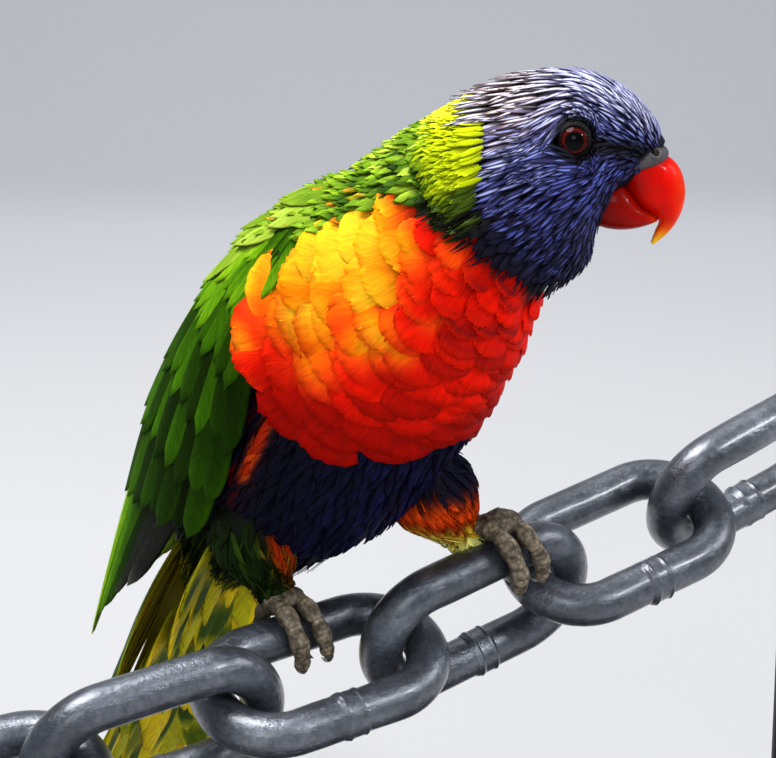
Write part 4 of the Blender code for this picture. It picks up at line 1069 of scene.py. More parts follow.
def makeBreastCoat():
    def region(u, w, roots):
        line = aboveThroatLine(roots[:, 0], fromBack(roots[:, 1]))
        return (w > breastEdge(u)) & (line < 0.55) & (u > bellyLine(w) - 0.12)

    made = layCoat(breastCoat, coverSpot, region, breastLie, 0.35)
    u, v, s, t, chance = readVanes(made)
    w = fromBack(v)
    tipU = u[:, -1:, made["middle"], None] + 0 * u
    tipW = w[:, -1:, made["middle"], None] + 0 * u
    colour = breastColour(0.7 * u + 0.3 * tipU, 0.7 * w + 0.3 * tipW, chance)
    rim = smooth(t, 0.80, 0.97) * smooth(chance, 0.1, 0.5) * (1 - made["under"])
    colour = mix(colour, breastColour(tipU - 0.5, tipW + 14, chance), 0.55 * rim)
    fringe = smooth(np.maximum(np.abs(s) * 0.97, smooth(t, 0.5, 1.0)), 0.90, 1.0) * (1 - made["under"])
    light = mix(colour, np.clip(colour * 1.06 + np.array([0.04, 0.07, 0.01]), 0, 1), 0.45)
    colour = mix(colour, light, fringe * smooth(tipU, 4.7, 5.4))
    below = bell(t, 0.84, 0.08) * (1 - fringe)
    bars = below * smooth(w, 112, 142) * smooth(u, 5.6, 7.2) * smooth(chance, 0.2, 0.7)
    colour = mix(colour, paint["barDark"], 0.62 * bars)
    # darker towards each feather's base: painted shade under the feathers above
    colour = colour * (0.72 + 0.28 * smooth(t, 0.25, 0.6))[..., None]
    return putVanes("breast_plumage", [(made, colour)], coatMaterials["breast"], unwrapBody,
                    slot="orange_plumage")


bellyCoat = {
    "grid": (8, 5), "outline": lance, "drop": 0.25, "thick": 0.18, "fray": 0.5, "power": 1.1, "roll": 0.3,
    "bend": 1.2, "from": 0.5, "to": 6.3, "alongGap": 3.6, "acrossGap": 2.3, "length": 15.0, "half": 1.9,
    "lengthAt": ((0, 2.4, 3.4, 5), (1.25, 1.25, 1.0, 0.9)), "stray": 0.14,
}
ventCoat = {
    "grid": (7, 3), "outline": hair, "drop": 0.1, "thick": 0.2, "power": 1.0, "roll": 0.3, "bend": 3.0,
    "from": 1.6, "to": 4.4, "alongGap": 3.4, "acrossGap": 2.2, "length": 20.0, "half": 0.42, "stray": 0.26,
}


def makeBellyCoat():
    def belly(u, w, roots):
        return (w > 76) & (u < bellyLine(w) - 0.05) & (roots[:, 0] < bellyLine(w) + 0.8)

    def vent(u, w, roots):
        return (w > 84) & (u < 2.9)

    batches = []
    for form, region, add in ((bellyCoat, belly, -0.5), (ventCoat, vent, 0.8)):
        made = layCoat(form, skinSpot, region, depthAdd=add)
        u, v, s, t, chance = readVanes(made)
        shine = smooth(0.6 - np.abs(s), 0, 0.6) * smooth(t, 0.3, 0.8) * smooth(fromBack(v), 118, 158)
        shine = shine * smooth(u, 3.0, 3.8) * chance
        batches.append((made, mix(bellyColour(u, fromBack(v), chance), paint["violet"], 0.6 * shine)))
    return putVanes("belly_plumage", batches, coatMaterials["soft"], unwrapBody, slot="orange_plumage")


# Wings

# each tier: how many, (station, angle) of its first and last roots and tips, half width and heights
wingTiers = (
    {"kind": "primary", "count": 10, "roots": ((1.5, -12), (1.8, 26)), "tips": ((3.3, -6), (4.05, 50)),
     "half": 4.4, "low": (-0.4, 1.0), "high": (-0.2, 1.3), "grid": (26, 9)},
    {"kind": "secondary", "count": 13, "roots": ((0.85, 0), (1.0, 64)), "tips": ((2.30, -26), (2.95, 68)),
     "half": 4.6, "low": (1.1, 1.7), "high": (1.3, 2.4), "grid": (24, 9)},
    {"kind": "inner", "count": 12, "roots": ((0.6, 4), (0.7, 64)), "tips": ((1.85, -25), (2.25, 67)),
     "half": 4.2, "low": (1.5, 2.0), "high": (1.9, 2.9), "grid": (20, 9)},
    {"kind": "greater", "count": 13, "roots": ((0.42, 10), (0.5, 64)), "tips": ((1.42, -20), (1.62, 67)),
     "half": 4.0, "low": (1.7, 2.1), "high": (2.4, 3.1), "grid": (16, 9)},
    {"kind": "median", "count": 13, "roots": ((0.2, 18), (0.25, 62)), "tips": ((1.02, -6), (1.12, 66)),
     "half": 3.5, "low": (1.6, 1.9), "high": (2.8, 3.3), "grid": (12, 9)},
    {"kind": "lesser", "count": 14, "roots": ((0.08, 22), (0.1, 60)), "tips": ((0.74, 2), (0.8, 65)),
     "half": 3.0, "low": (1.2, 1.4), "high": (2.9, 3.3), "grid": (10, 7)},
    {"kind": "lesser", "count": 14, "roots": ((0.0, 26), (0.02, 58)), "tips": ((0.50, 8), (0.54, 64)),
     "half": 2.8, "low": (0.6, 0.6), "high": (2.6, 2.9), "grid": (9, 7)},
    {"kind": "marginal", "count": 13, "roots": ((-0.1, 30), (-0.1, 56)), "tips": ((0.26, 16), (0.28, 62)),
     "half": 2.6, "low": (-0.6, -0.6), "high": (1.7, 1.9), "grid": (9, 7)},
)
vaneForm = {
    "outline": ((0, 0.08, 0.3, 0.7, 0.86, 0.95, 1), (0.35, 0.7, 0.95, 1.0, 0.82, 0.52, 0.12)),
    "drop": 0.5, "thick": 0.26, "fray": 0.12, "power": 1.0, "roll": 0.05, "round": 0.25, "bend": 0.25,
    "shaft": 0.16,
}


def wingColour(made, kind, share):
    n, angle, s, t, chance = readVanes(made)
    upper = spline(wingForm["sections"], n)[..., 5]
    towardsBack = smooth(angle, upper - 40, upper - 6)
    # lighter near the shoulder and towards the wing's upper edge: painted light from above; darker along the
    # lower edge and towards the tip: painted shade
    value = 0.34 + 0.3 * (chance - 0.5) + 0.26 * smooth(1.3 - n, 0, 1.0) - 0.20 * smooth(40 - angle, 0, 50)
    value = value - 0.05 * smooth(n, 1.4, 2.4) * (1 - towardsBack)
    value = value + 0.62 * towardsBack * (0.75 + 0.5 * chance)
    if kind == "primary":
        value = value + 0.5 * smooth(share, 0.3, 1.0)[:, None, None]
    web = smooth(np.abs(s), 0.45, 1.0)
    tipLight = smooth(t, 0.55, 0.97)
    # lighter at the edges and tip on the top side; darker at the base: painted shade under the feathers above
    value = value + (0.10 * web + 0.16 * tipLight) * (1 - made["under"]) - 0.22 * smooth(0.55 - t, 0, 0.4)
    colour = ramp(value, (0.0, 0.25, 0.5, 0.78, 1.05), (
        (0.03, 0.07, 0.01), (0.10, 0.20, 0.012), (0.22, 0.40, 0.02), (0.42, 0.60, 0.06), (0.66, 0.76, 0.24)))
    if kind == "primary":
        lower = smooth(0.15 - share[:, None, None] + 0 * n, -0.03, 0.05)
        inner = np.maximum(lower, 0.35 * smooth(-s, 0.1, 0.6))
        grey = ramp(t, (0, 0.9, 0.97, 1), (
            (0.10, 0.10, 0.10), (0.17, 0.17, 0.16), (0.30, 0.30, 0.28), (0.4, 0.4, 0.36)))
        colour = mix(colour, grey, 0.95 * inner)
    return mix(colour, colour * 0.6, bell(s, 0, 0.09) * (1 - t) * 0.7)


# from the first of two ends to the second
def between(ends, share):
    return np.array(ends[0]) * (1 - share) + np.array(ends[1]) * share


wingPoints = []


def makeWing(side, hand):
    def surface(n, angle):
        return sleeveSpot(n, angle, hand)

    inside = birdSpot((3.0, 0.0, 61.0))
    out = {"fine": True, "stepQ": 0.5, "sign": outwardSign(surface, 1.0, 30.0, inside)}
    batches = []
    for tier in wingTiers:
        count = tier["count"]
        share = np.linspace(0, 1, count)[:, None]
        luck = random.random((count, 4))
        root = between(tier["roots"], share)
        tip = between(tier["tips"], share**0.6 if tier["kind"] == "primary" else share)
        if tier["kind"] == "primary" and side == "left":
            tip = tip + (tip[:, :1] - 3.0) * np.array([-0.42, 22.0])
        root = root + np.stack([0.04 * (luck[:, 0] - 0.5), 1.5 * (luck[:, 1] - 0.5)], -1)
        tip = tip + np.stack([0.11 * (luck[:, 2] - 0.5), 2.5 * (luck[:, 0] - 0.5)], -1)
        share = share[:, 0]
        rise = (between(tier["low"], share), between(tier["high"], share))
        half = tier["half"] * (0.92 + 0.16 * luck[:, 2])
        made = layVanes(surface, out, root, tip, half, dict(vaneForm, grid=tier["grid"], rise=rise), luck)
        batches.append((made, wingColour(made, tier["kind"], share)))
        wingPoints.append(made["points"])
    return putVanes(f"wing_{side}_plumage", batches, coatMaterials["wing"], unwrapSleeve,
                    node=(f"wing_{side}",), slot="green_plumage")


for side, hand in (("left", 1), ("right", -1)):
    makeWing(side, hand)

# a second surface that also covers the folded wings: on a grid over the body, the greatest height of any wing
# point above the coat, spread to its neighbours, smoothed, and read between the grid's own places.
coverForm = {"low": 3.9, "high": 8.1, "rows": 64, "columns": 150, "clear": 0.3}


def makeCover():
    u = np.linspace(coverForm["low"], coverForm["high"], coverForm["rows"])
    uu, vv = gridOf(u, circle(coverForm["columns"]))
    spot, _, _, normal = surfaceFrame(skinSpot, uu, vv, bodyOut)
    spot, normal = spot.reshape(-1, 3), normal.reshape(-1, 3)
    points = np.concatenate(wingPoints)[::2]
    nearest = np.concatenate([
        ((spot**2).sum(1)[None] - 2 * part @ spot.T).argmin(1) for part in np.array_split(points, 40)])
    height = ((points - spot[nearest]) * normal[nearest]).sum(1)
    inside = (nearest >= coverForm["columns"]) & (np.linalg.norm(points - spot[nearest], axis=1) < 10)
    lift = np.zeros(len(spot))
    np.maximum.at(lift, nearest[inside], height[inside])
    lift = lift.reshape(uu.shape)
    lift = np.maximum(lift - np.interp(uu, bird["coatAt"], bird["coatDepth"]) + coverForm["clear"], 0)
    for _ in range(2):
        lift = np.maximum.reduce([lift, np.roll(lift, 1, 1), np.roll(lift, -1, 1)])
        lift = np.maximum.reduce([lift, np.roll(lift, 1, 0), np.roll(lift, -1, 0)])
    for _ in range(6):
        lift = (2 * lift + np.roll(lift, 1, 1) + np.roll(lift, -1, 1)) / 4
        padded = np.concatenate([lift[:1], lift, lift[-1:]])
        lift = (2 * lift + padded[2:] + padded[:-2]) / 4
    return lift


coverLift = makeCover()
print("wings stand over the coat by up to", round(float(coverLift.max()), 2), "mm")


def coverSpot(u, v):
    rows, columns = coverLift.shape
    i = np.clip((u - coverForm["low"]) / (coverForm["high"] - coverForm["low"]), 0, 1) * (rows - 1.001)
    j = (v / (2 * math.pi) * columns) % columns
    i0, j0 = np.floor(i).astype(int), np.floor(j).astype(int) % columns
    a, b, j1 = i - i0, j - np.floor(j), (j0 + 1) % columns
    lift = ((1 - a) * ((1 - b) * coverLift[i0, j0] + b * coverLift[i0, j1])
            + a * ((1 - b) * coverLift[i0 + 1, j0] + b * coverLift[i0 + 1, j1]))
    return bodySpot(u, v, lift - np.interp(u, bird["coatAt"], bird["coatDepth"]))


makeMantleCoat()
makeBreastCoat()
makeBellyCoat()

shoulderForm = dict(vaneForm, grid=(14, 11), fray=0.15, shaft=0.08, thick=0.2, round=0.35, outline=leaf)


# shoulder feathers: broad smooth leaves from the mantle's edge out over the wing's upper corner, in four rows
def makeShoulders():
    batches = []
    for u0, u1, w0, w1, many, half, add in (
        (5.2, 3.95, 14, 42, 6, 5.0, 0.2), (5.9, 4.75, 16, 43, 7, 4.8, 0.6),
        (6.5, 5.35, 18, 45, 8, 4.2, 1.0), (6.9, 5.95, 22, 50, 9, 3.4, 1.3),
    ):
        for hand in (-1, 1):
            share = np.linspace(0, 1, many)
            luck = random.random((many, 4))
            w = w0 + (w1 - w0) * share + 3 * (luck[:, 0] - 0.5)
            root = np.stack([u0 + 0.2 * (luck[:, 1] - 0.5), np.radians(90 - hand * (w + 3))], -1)
            tip = np.stack([u1 + 0.22 * (luck[:, 2] - 0.5), np.radians(90 - hand * (w - 3))], -1)
            made = layVanes(coverSpot, bodyOut, root, tip, half * (0.9 + 0.2 * luck[:, 1]),
                            dict(shoulderForm, rise=(0.2, 2.6 + add)), luck)
            u, _, s, t, chance = readVanes(made)
            value = 0.42 + 0.24 * (chance - 0.5) + 0.06 * smooth(np.abs(s), 0.5, 1.0)
            # darker at the base: painted shade under the row above; lighter at the tip
            value = value - 0.3 * smooth(0.5 - t, 0, 0.5) + 0.16 * smooth(t, 0.6, 1.0)
            value = value + 0.14 * smooth(u, 5.0, 5.8)
            colour = ramp(value, (0.0, 0.3, 0.6, 0.9), (
                (0.09, 0.15, 0.03), (0.26, 0.38, 0.06), (0.48, 0.60, 0.15), (0.70, 0.76, 0.32)))
            batches.append((made, colour))
    return putVanes("shoulder_plumage", batches, coatMaterials["wing"], unwrapBody, slot="lime_plumage")


makeShoulders()
print("body and wing plumage laid")


# Tail


def makeTail():
    out = {"fine": False, "sign": 1.0 if np.cross(tailBack, leftWay) @ tailUp > 0 else -1.0}
    count = 2 * tailForm["pairs"]
    number = np.arange(count)
    far = (number // 2 + 0.5) / tailForm["pairs"]
    hand = np.where(number % 2 == 1, 1.0, -1.0)
    luck = random.random((count, 4))
    splay = np.radians(6.5 * far * hand)
    length = tailForm["length"] * (1 - 0.42 * far**1.2)
    root = np.stack([0 * far, hand * (0.7 + 6.6 * far)], -1)
    tip = root + np.stack([length * np.cos(splay), length * np.sin(splay)], -1)
    rise = -(2.4 * far + 0.35 * (number % 2))
    taper = ((0, 0.15, 0.5, 0.8, 0.93, 1), (0.45, 0.8, 1.0, 0.72, 0.42, 0.1))
    form = dict(vaneForm, grid=(30, 9), rise=(rise, rise), drop=0.4, thick=0.4, outline=taper, shaft=0.3,
                fray=0.1)
    made = layVanes(tailSpot, out, root, tip, np.full(count, 6.4), form, luck)
    s, t = made["s"], made["t"]
    above = mix((0.09, 0.17, 0.03), (0.22, 0.36, 0.05), luck[:, 3, None, None] + 0 * s)
    below = mix((0.66, 0.60, 0.06), (0.92, 0.78, 0.10), smooth(t, 0.3, 0.9))
    colour = np.where(made["under"][..., None], below, above)
    colour = mix(colour, (0.66, 0.58, 0.06), 0.8 * smooth(np.abs(s), 0.78, 1.0))
    batches = [(made, colour)]
    # the right side's outer feathers fan out below the wing's tip
    many = 9
    luck = random.random((many, 4))
    share = np.linspace(0, 1, many)
    root = np.stack([-12 + 0 * share, -7 - 7 * share], -1)
    tip = np.stack([52 - 40 * share + 5 * (luck[:, 0] - 0.5), -22 - 21 * share], -1)
    rise = -1.0 - 0.25 * np.arange(many)
    form = dict(form, grid=(20, 9), rise=(rise, rise))
    made = layVanes(tailSpot, out, root, tip, np.full(many, 4.4), form, luck)
    s, t = made["s"], made["t"]
    below = mix((0.86, 0.76, 0.08), (0.98, 0.88, 0.26), smooth(t, 0.4, 1.0))
    green = smooth(0.45 - np.abs(s + 0.2), 0, 0.3) * smooth(1.0 - t, 0.05, 0.3)
    below = mix(below, (0.20, 0.34, 0.05), 0.7 * green)
    above = mix((0.10, 0.19, 0.03), (0.50, 0.56, 0.08), smooth(np.abs(s), 0.5, 1.0) * smooth(t, 0.3, 1.0))
    batches.append((made, np.where(made["under"][..., None], below, above)))
    # under-tail coverts, in rows that reach further back the nearer they lie to the tail
    for reach, many, depth, wide in (
        (14, 9, 14.5, 19), (28, 9, 12.5, 20), (42, 9, 10.5, 20),
        (56, 8, 8.5, 19), (70, 8, 6.8, 18), (84, 7, 5.4, 17),
    ):
        luck = random.random((many, 4))
        across = np.linspace(-1.5, 1, many) + 0.10 * (luck[:, 1] - 0.5)
        root = np.stack([reach - 34 + 0 * across, 0.62 * wide * across], -1)
        tip = np.stack([reach - 5 * across**2 + 6 * (luck[:, 0] - 0.5), wide * across], -1)
        rise = (-depth + 1.0, -depth + 1.2 * luck[:, 2])
        form = dict(vaneForm, grid=(12, 11), rise=rise, drop=-1.2, thick=0.22, shaft=0.0, fray=0.5, notch=1.2,
                    outline=leaf, power=1.4, bend=0.8)
        made = layVanes(tailSpot, out, root, tip, np.full(many, 6.2), form, luck)
        _, _, s, t, chance = readVanes(made)
        blotch = smooth(0.85 - np.abs(s), 0, 0.3) * smooth(t, 0.40, 0.62) * smooth(1.0 - t, 0.03, 0.16)
        blotch = blotch * smooth(chance, 0.38, 0.55)
        greener = smooth(luck[:, 2, None, None] + 0 * t, 0.3, 0.9)
        colour = mix((1.0, 0.87, 0.10), (0.72, 0.74, 0.10), 0.8 * greener)
        colour = mix(colour, (0.13, 0.27, 0.04), 0.88 * blotch)
        colour = mix(colour, (0.12, 0.22, 0.03), 0.6 * smooth(0.42 - t, 0, 0.3))
        batches.append((made, colour))
    return putVanes("tail_plumage", batches, coatMaterials["tail"], unwrapTail, node=("tail",),
                    slot="tail_plumage")


makeTail()


# Thighs

legForm = {
    # link, mm along its upper bar, turn of the palm, ankle and hip in the bird's frame
    "right": (2, -0.8, 56, (-12.7, -9.4, 3.4), (-12.5, -16.2, 21.5)),
    "left": (3, 9.0, -14, (16.8, 25.2, 15.0), (13.0, 15.0, 30.5)),
    "radii": (10.5, 11.8, 11.0, 8.6, 6.2, 4.6),
}


# the thigh: u 5 at the hip to 0 above the ankle, a soft cone round the straight line between them
def thighSurface(side):
    ankle, hip = (np.array(p) for p in legForm[side][3:])
    ankle = ankle * 0.9 + hip * 0.1
    way = unit(hip - ankle)
    across = unit(np.cross(way, [0, 0, 1.0]))
    normal = np.cross(across, way)
    share = np.array([1.0, 0.92, 0.75, 0.5, 0.25, 0.0])

    def surface(u, v):
        t = np.interp(u, (-2, 0, 1, 2, 3, 4, 5, 6.4), (1.3, *share, -0.45))
        radius = spline(np.array(legForm["radii"])[::-1, None], np.clip(u, -0.2, 5.0))[..., 0] - 1.6
        dome = np.sqrt(np.clip(1 - (np.maximum(u - 5, 0) / 1.4) ** 2, 0.01, 1))
        radius = (radius * np.where(u < 0, 1 + 0.16 * u, 1) * dome)[..., None]
        ring = np.cos(v)[..., None] * across + np.sin(v)[..., None] * normal
        return birdSpot(hip + (ankle - hip) * t[..., None] + radius * ring)

    return surface, birdSpot((ankle + hip) / 2)


def makeThigh(side):
    surface, inside = thighSurface(side)
    out = {"fine": True, "sign": outwardSign(surface, 3.0, 1.0, inside)}
    uu, vv = gridOf(np.linspace(0, 6.35, 48), circle(64))
    core = surface(uu, vv)

    def tint(spot, chance):
        if side == "right":
            front = smooth((spot - inside) @ np.array([0.75, -0.6, 0.2]) + 3 * (chance - 0.5), 3.6, 7.2)
            base = ramp(chance, (0, 0.6, 1), ((0.05, 0.09, 0.02), (0.09, 0.16, 0.03), (0.17, 0.26, 0.05)))
            warm = ramp(chance, (0, 0.5, 1), ((0.60, 0.08, 0.03), (0.70, 0.20, 0.03), (0.50, 0.40, 0.07)))
            return mix(base, warm, front)
        level = (spot[..., 2] - inside[2]) / 9 + 0.5 * (chance - 0.5)
        return ramp(level, (-1.3, -0.95, -0.55, -0.1, 0.22, 0.55), (
            (0.90, 0.90, 0.50), (0.74, 0.60, 0.12), (0.50, 0.12, 0.02), (0.88, 0.27, 0.03),
            (0.32, 0.10, 0.05), (0.05, 0.05, 0.12)))

    flat = np.stack([uu / 6.4, vv / (2 * math.pi)], -1).reshape(-1, 2) * 0.9 + 0.04
    maps = {"OFBake": np.concatenate([flat, [[0.04, 0.5], [0.94, 0.5]]])}
    # the bare skin is the coat's colour halved: painted shade under the plumage
    putTube(f"thigh_{side}_skin", core, skinMaterial, 0.5 * tint(core, np.full_like(uu, 0.3)), maps,
            node=(f"thigh_{side}",), slot="thigh_plumage")
    batches = []
    for gap, wide, form in ((0.5, 1.5, dict(softCoat, half=1.05, length=9.5, stray=0.2, fray=0.5)),
                            (0.40, 1.3, dict(ventCoat, half=0.30, length=15.5, stray=0.36))):
        roots = []
        for number, level in enumerate(np.arange(0.3, 6.2, gap)):
            many = int(round(np.interp(level, (0, 5, 6.4), (22, 62, 8)) / wide))
            at = (np.arange(many) + 0.5 * (number % 2)) / many * 2 * math.pi
            levels = level + random.normal(0, 0.12, many)
            roots.append(np.stack([levels, at + random.normal(0, 0.08, many)], -1))
        roots = np.concatenate(roots)
        luck = random.random((len(roots), 4))
        length = form["length"] * (0.8 + 0.4 * luck[:, 1])
        length = length * np.interp(roots[:, 0], (0, 2, 5), (0.6, 0.9, 1.0))
        tips = lieFrom(surface, out, roots, length, random.normal(0, form["stray"], len(roots)))
        tips[:, 0] = np.maximum(tips[:, 0], -2.2 + 1.2 * luck[:, 3])
        high = 1.3 + 2.4 * luck[:, 0] * smooth(2.4 - tips[:, 0], 0, 3)
        made = layVanes(surface, out, roots, tips, form["half"] * (0.8 + 0.4 * luck[:, 2]),
                        dict(form, rise=(-0.4, high)), luck)
        spot = made["points"].reshape(*made["p"].shape, 3)
        batches.append((made, tint(spot, readVanes(made)[4])))

    def unwrap(root):
        return np.stack([0.04 + 0.9 * root[:, 0] / 6.5, 0.04 + 0.9 * (root[:, 1] / (2 * math.pi)) % 0.95], -1)

    return putVanes(f"thigh_{side}_plumage", batches, coatMaterials["soft"], unwrap, slot="thigh_plumage")


for side in ("left", "right"):
    makeThigh(side)
print("tail and thighs laid")


# Chain

chainForm = {
    "marked": 3, "markedAt": (25.0, 0.0, 113.0), "wire": 11.0, "gap": 0.3, "pitch": 44.5, "width": 41.0,
    "steps": (9.5, 11.0, 12.0, 16.7, 19.4), "slopes": (8.0, 8.4, 8.8, 15.5, 15.0, 20.2),
    "rolls": (66, -22, 66, -22.5, 60, -28),
}
endRadius = (chainForm["width"] - chainForm["wire"]) / 2
straightHalf = (chainForm["pitch"] + chainForm["wire"]) / 2 - endRadius


# centre, length way, upper bar's way and normal of each link: each next centre is stepped along the chain's
# climb until the two wires' centre lines come a wire and a fine gap apart, then all shift so that the marked
# link is in place
def linkFrames():
    angle = np.linspace(-math.pi / 2, math.pi / 2, 61)
    frames = []
    for number, (slope, roll) in enumerate(zip(chainForm["slopes"], chainForm["rolls"])):
        a, r = math.radians(slope), math.radians(roll)
        along = np.array([math.cos(a), 0, math.sin(a)])
        bar = math.cos(r) * np.array([-math.sin(a), 0, math.cos(a)]) + math.sin(r) * leftWay
        ends = [np.outer(side * (straightHalf + endRadius * np.cos(angle)), along)
                + np.outer(endRadius * np.sin(angle), bar) for side in (-1, 1)]
        centre = np.zeros(3)
        if frames:
            a = math.radians(chainForm["steps"][number - 1])
            way = np.array([math.cos(a), 0, math.sin(a)])
            step = chainForm["pitch"]
            for _ in range(6):
                centre = frames[-1][0] + step * way
                apart = np.linalg.norm((centre + ends[0])[:, None] - lastEnd[None], axis=2).min()
                step -= chainForm["wire"] + chainForm["gap"] - apart
        lastEnd = centre + ends[1]
        frames.append((centre, along, bar, np.cross(along, bar)))
    shift = np.array(chainForm["markedAt"]) - frames[chainForm["marked"]][0]
    return [(centre + shift, *axes) for centre, *axes in frames]


links = linkFrames()


# the wire of a link, d mm round its stadium from the middle of the upper bar: a place along the straight bars
# plus the end's radius outwards, cos phase up and sin phase along; a is the angle round the wire; the radius
# swells at the weld in the middle of the lower bar, and is slightly uneven everywhere
def makeLink(number):
    centre, along, bar, normal = links[number]
    bend = math.pi * endRadius
    stops = np.cumsum([0, straightHalf, bend, 2 * straightHalf, bend, straightHalf])
    around, weldAt, weldHalf = stops[-1], stops[2] + straightHalf, 4
    before, after = weldAt - weldHalf, weldAt + weldHalf
    runs = ((0, before, 90), (before, after, 48), (after, around, 90))
    d = np.concatenate([np.linspace(low, high, many, endpoint=False) for low, high, many in runs])
    phase = np.interp(d, stops, math.pi * np.array([0, 0, 1, 1, 2, 2]))[:, None]
    straight = np.interp(d, stops, straightHalf * np.array([0, 1, 1, -1, -1, 0]))[:, None]
    outward = np.cos(phase) * bar + np.sin(phase) * along
    path = centre + straight * along + endRadius * outward
    a = circle(40)
    fromWeld = (d - weldAt)[:, None]
    swell = 0.40 * smooth(3.4 - np.abs(fromWeld), 0, 1.0) + 0.34 * bell(np.abs(fromWeld + 0.6), 2.2, 0.5)
    uneven = 0.75 + 0.55 * np.sin(a + 1.9 * number) + 0.22 * np.sin(3 * a + number) + 0.12 * np.sin(7 * a)
    radius = chainForm["wire"] / 2 - 0.05 + swell * np.maximum(uneven, 0.1)
    radius = radius + 0.07 * np.sin(0.31 * d[:, None] + number) * np.sin(2 * a + 1.3 * number)
    points = ringsRound(path, radius, outward, np.broadcast_to(normal, path.shape)).reshape(-1, 3)
    flat = np.stack(gridOf(d / around, a / (2 * math.pi)), -1).reshape(-1, 2)
    faces = outwards(points, gridFaces(len(d), len(a), True, True))
    name = f"chain_link_{number + 1}"
    return putMesh(f"{name}_steel", points, faces, steelMaterial, None, {"OFBake": flat}, node=(name,),
                   slot="chain_steel")


for number in range(6):
    makeLink(number)

for name in ("stand_base", "stand_rod_left", "stand_rod_right"):
    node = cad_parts[name]
    node.data.materials.clear()
    node.data.materials.append(standMaterial)


# Feet


# centre, outward way and normal of the wire at distances along the upper bar, on round the ends
def barPoint(number, distance):
    centre, along, bar, normal = links[number]
    distance = np.asarray(distance, float)
    reach = np.maximum(np.abs(distance) - straightHalf, 0)
    sign = np.sign(distance)
    a = (reach / endRadius)[..., None]
    outward = np.cos(a) * bar + np.sin(a) * sign[..., None] * along
    flat = np.clip(distance, -straightHalf, straightHalf)[..., None]
    return centre + flat * along + outward * endRadius, outward, np.broadcast_to(normal, outward.shape)


toeForm = (
    # name, place along the bar, drift, first and last wrap angle, size
    ("2", -3.0, 2.2, 12, 146, 1.04),
    ("3", 2.6, 3.4, 12, 134, 0.96),
    ("1", -2.8, -3.0, -12, -112, 0.86),
    ("4", 3.0, 1.6, -12, -128, 0.94),
)
footForm = {
    "toeRadius": 2.55, "shankRadius": 2.9, "gap": 0.3, "skin": (0.34, 0.31, 0.26), "pale": (0.60, 0.54, 0.45),
    "dark": (0.12, 0.105, 0.09), "claw": (0.07, 0.06, 0.06),
}


# the foot's colour: from skin to pale by share, then towards dark by the second share, which holds painted
# shade in the grooves and on the underside as well as an even darker tone
def footTint(share, shadeAndTone):
    return mix(mix(footForm["skin"], footForm["pale"], share), footForm["dark"], shadeAndTone)


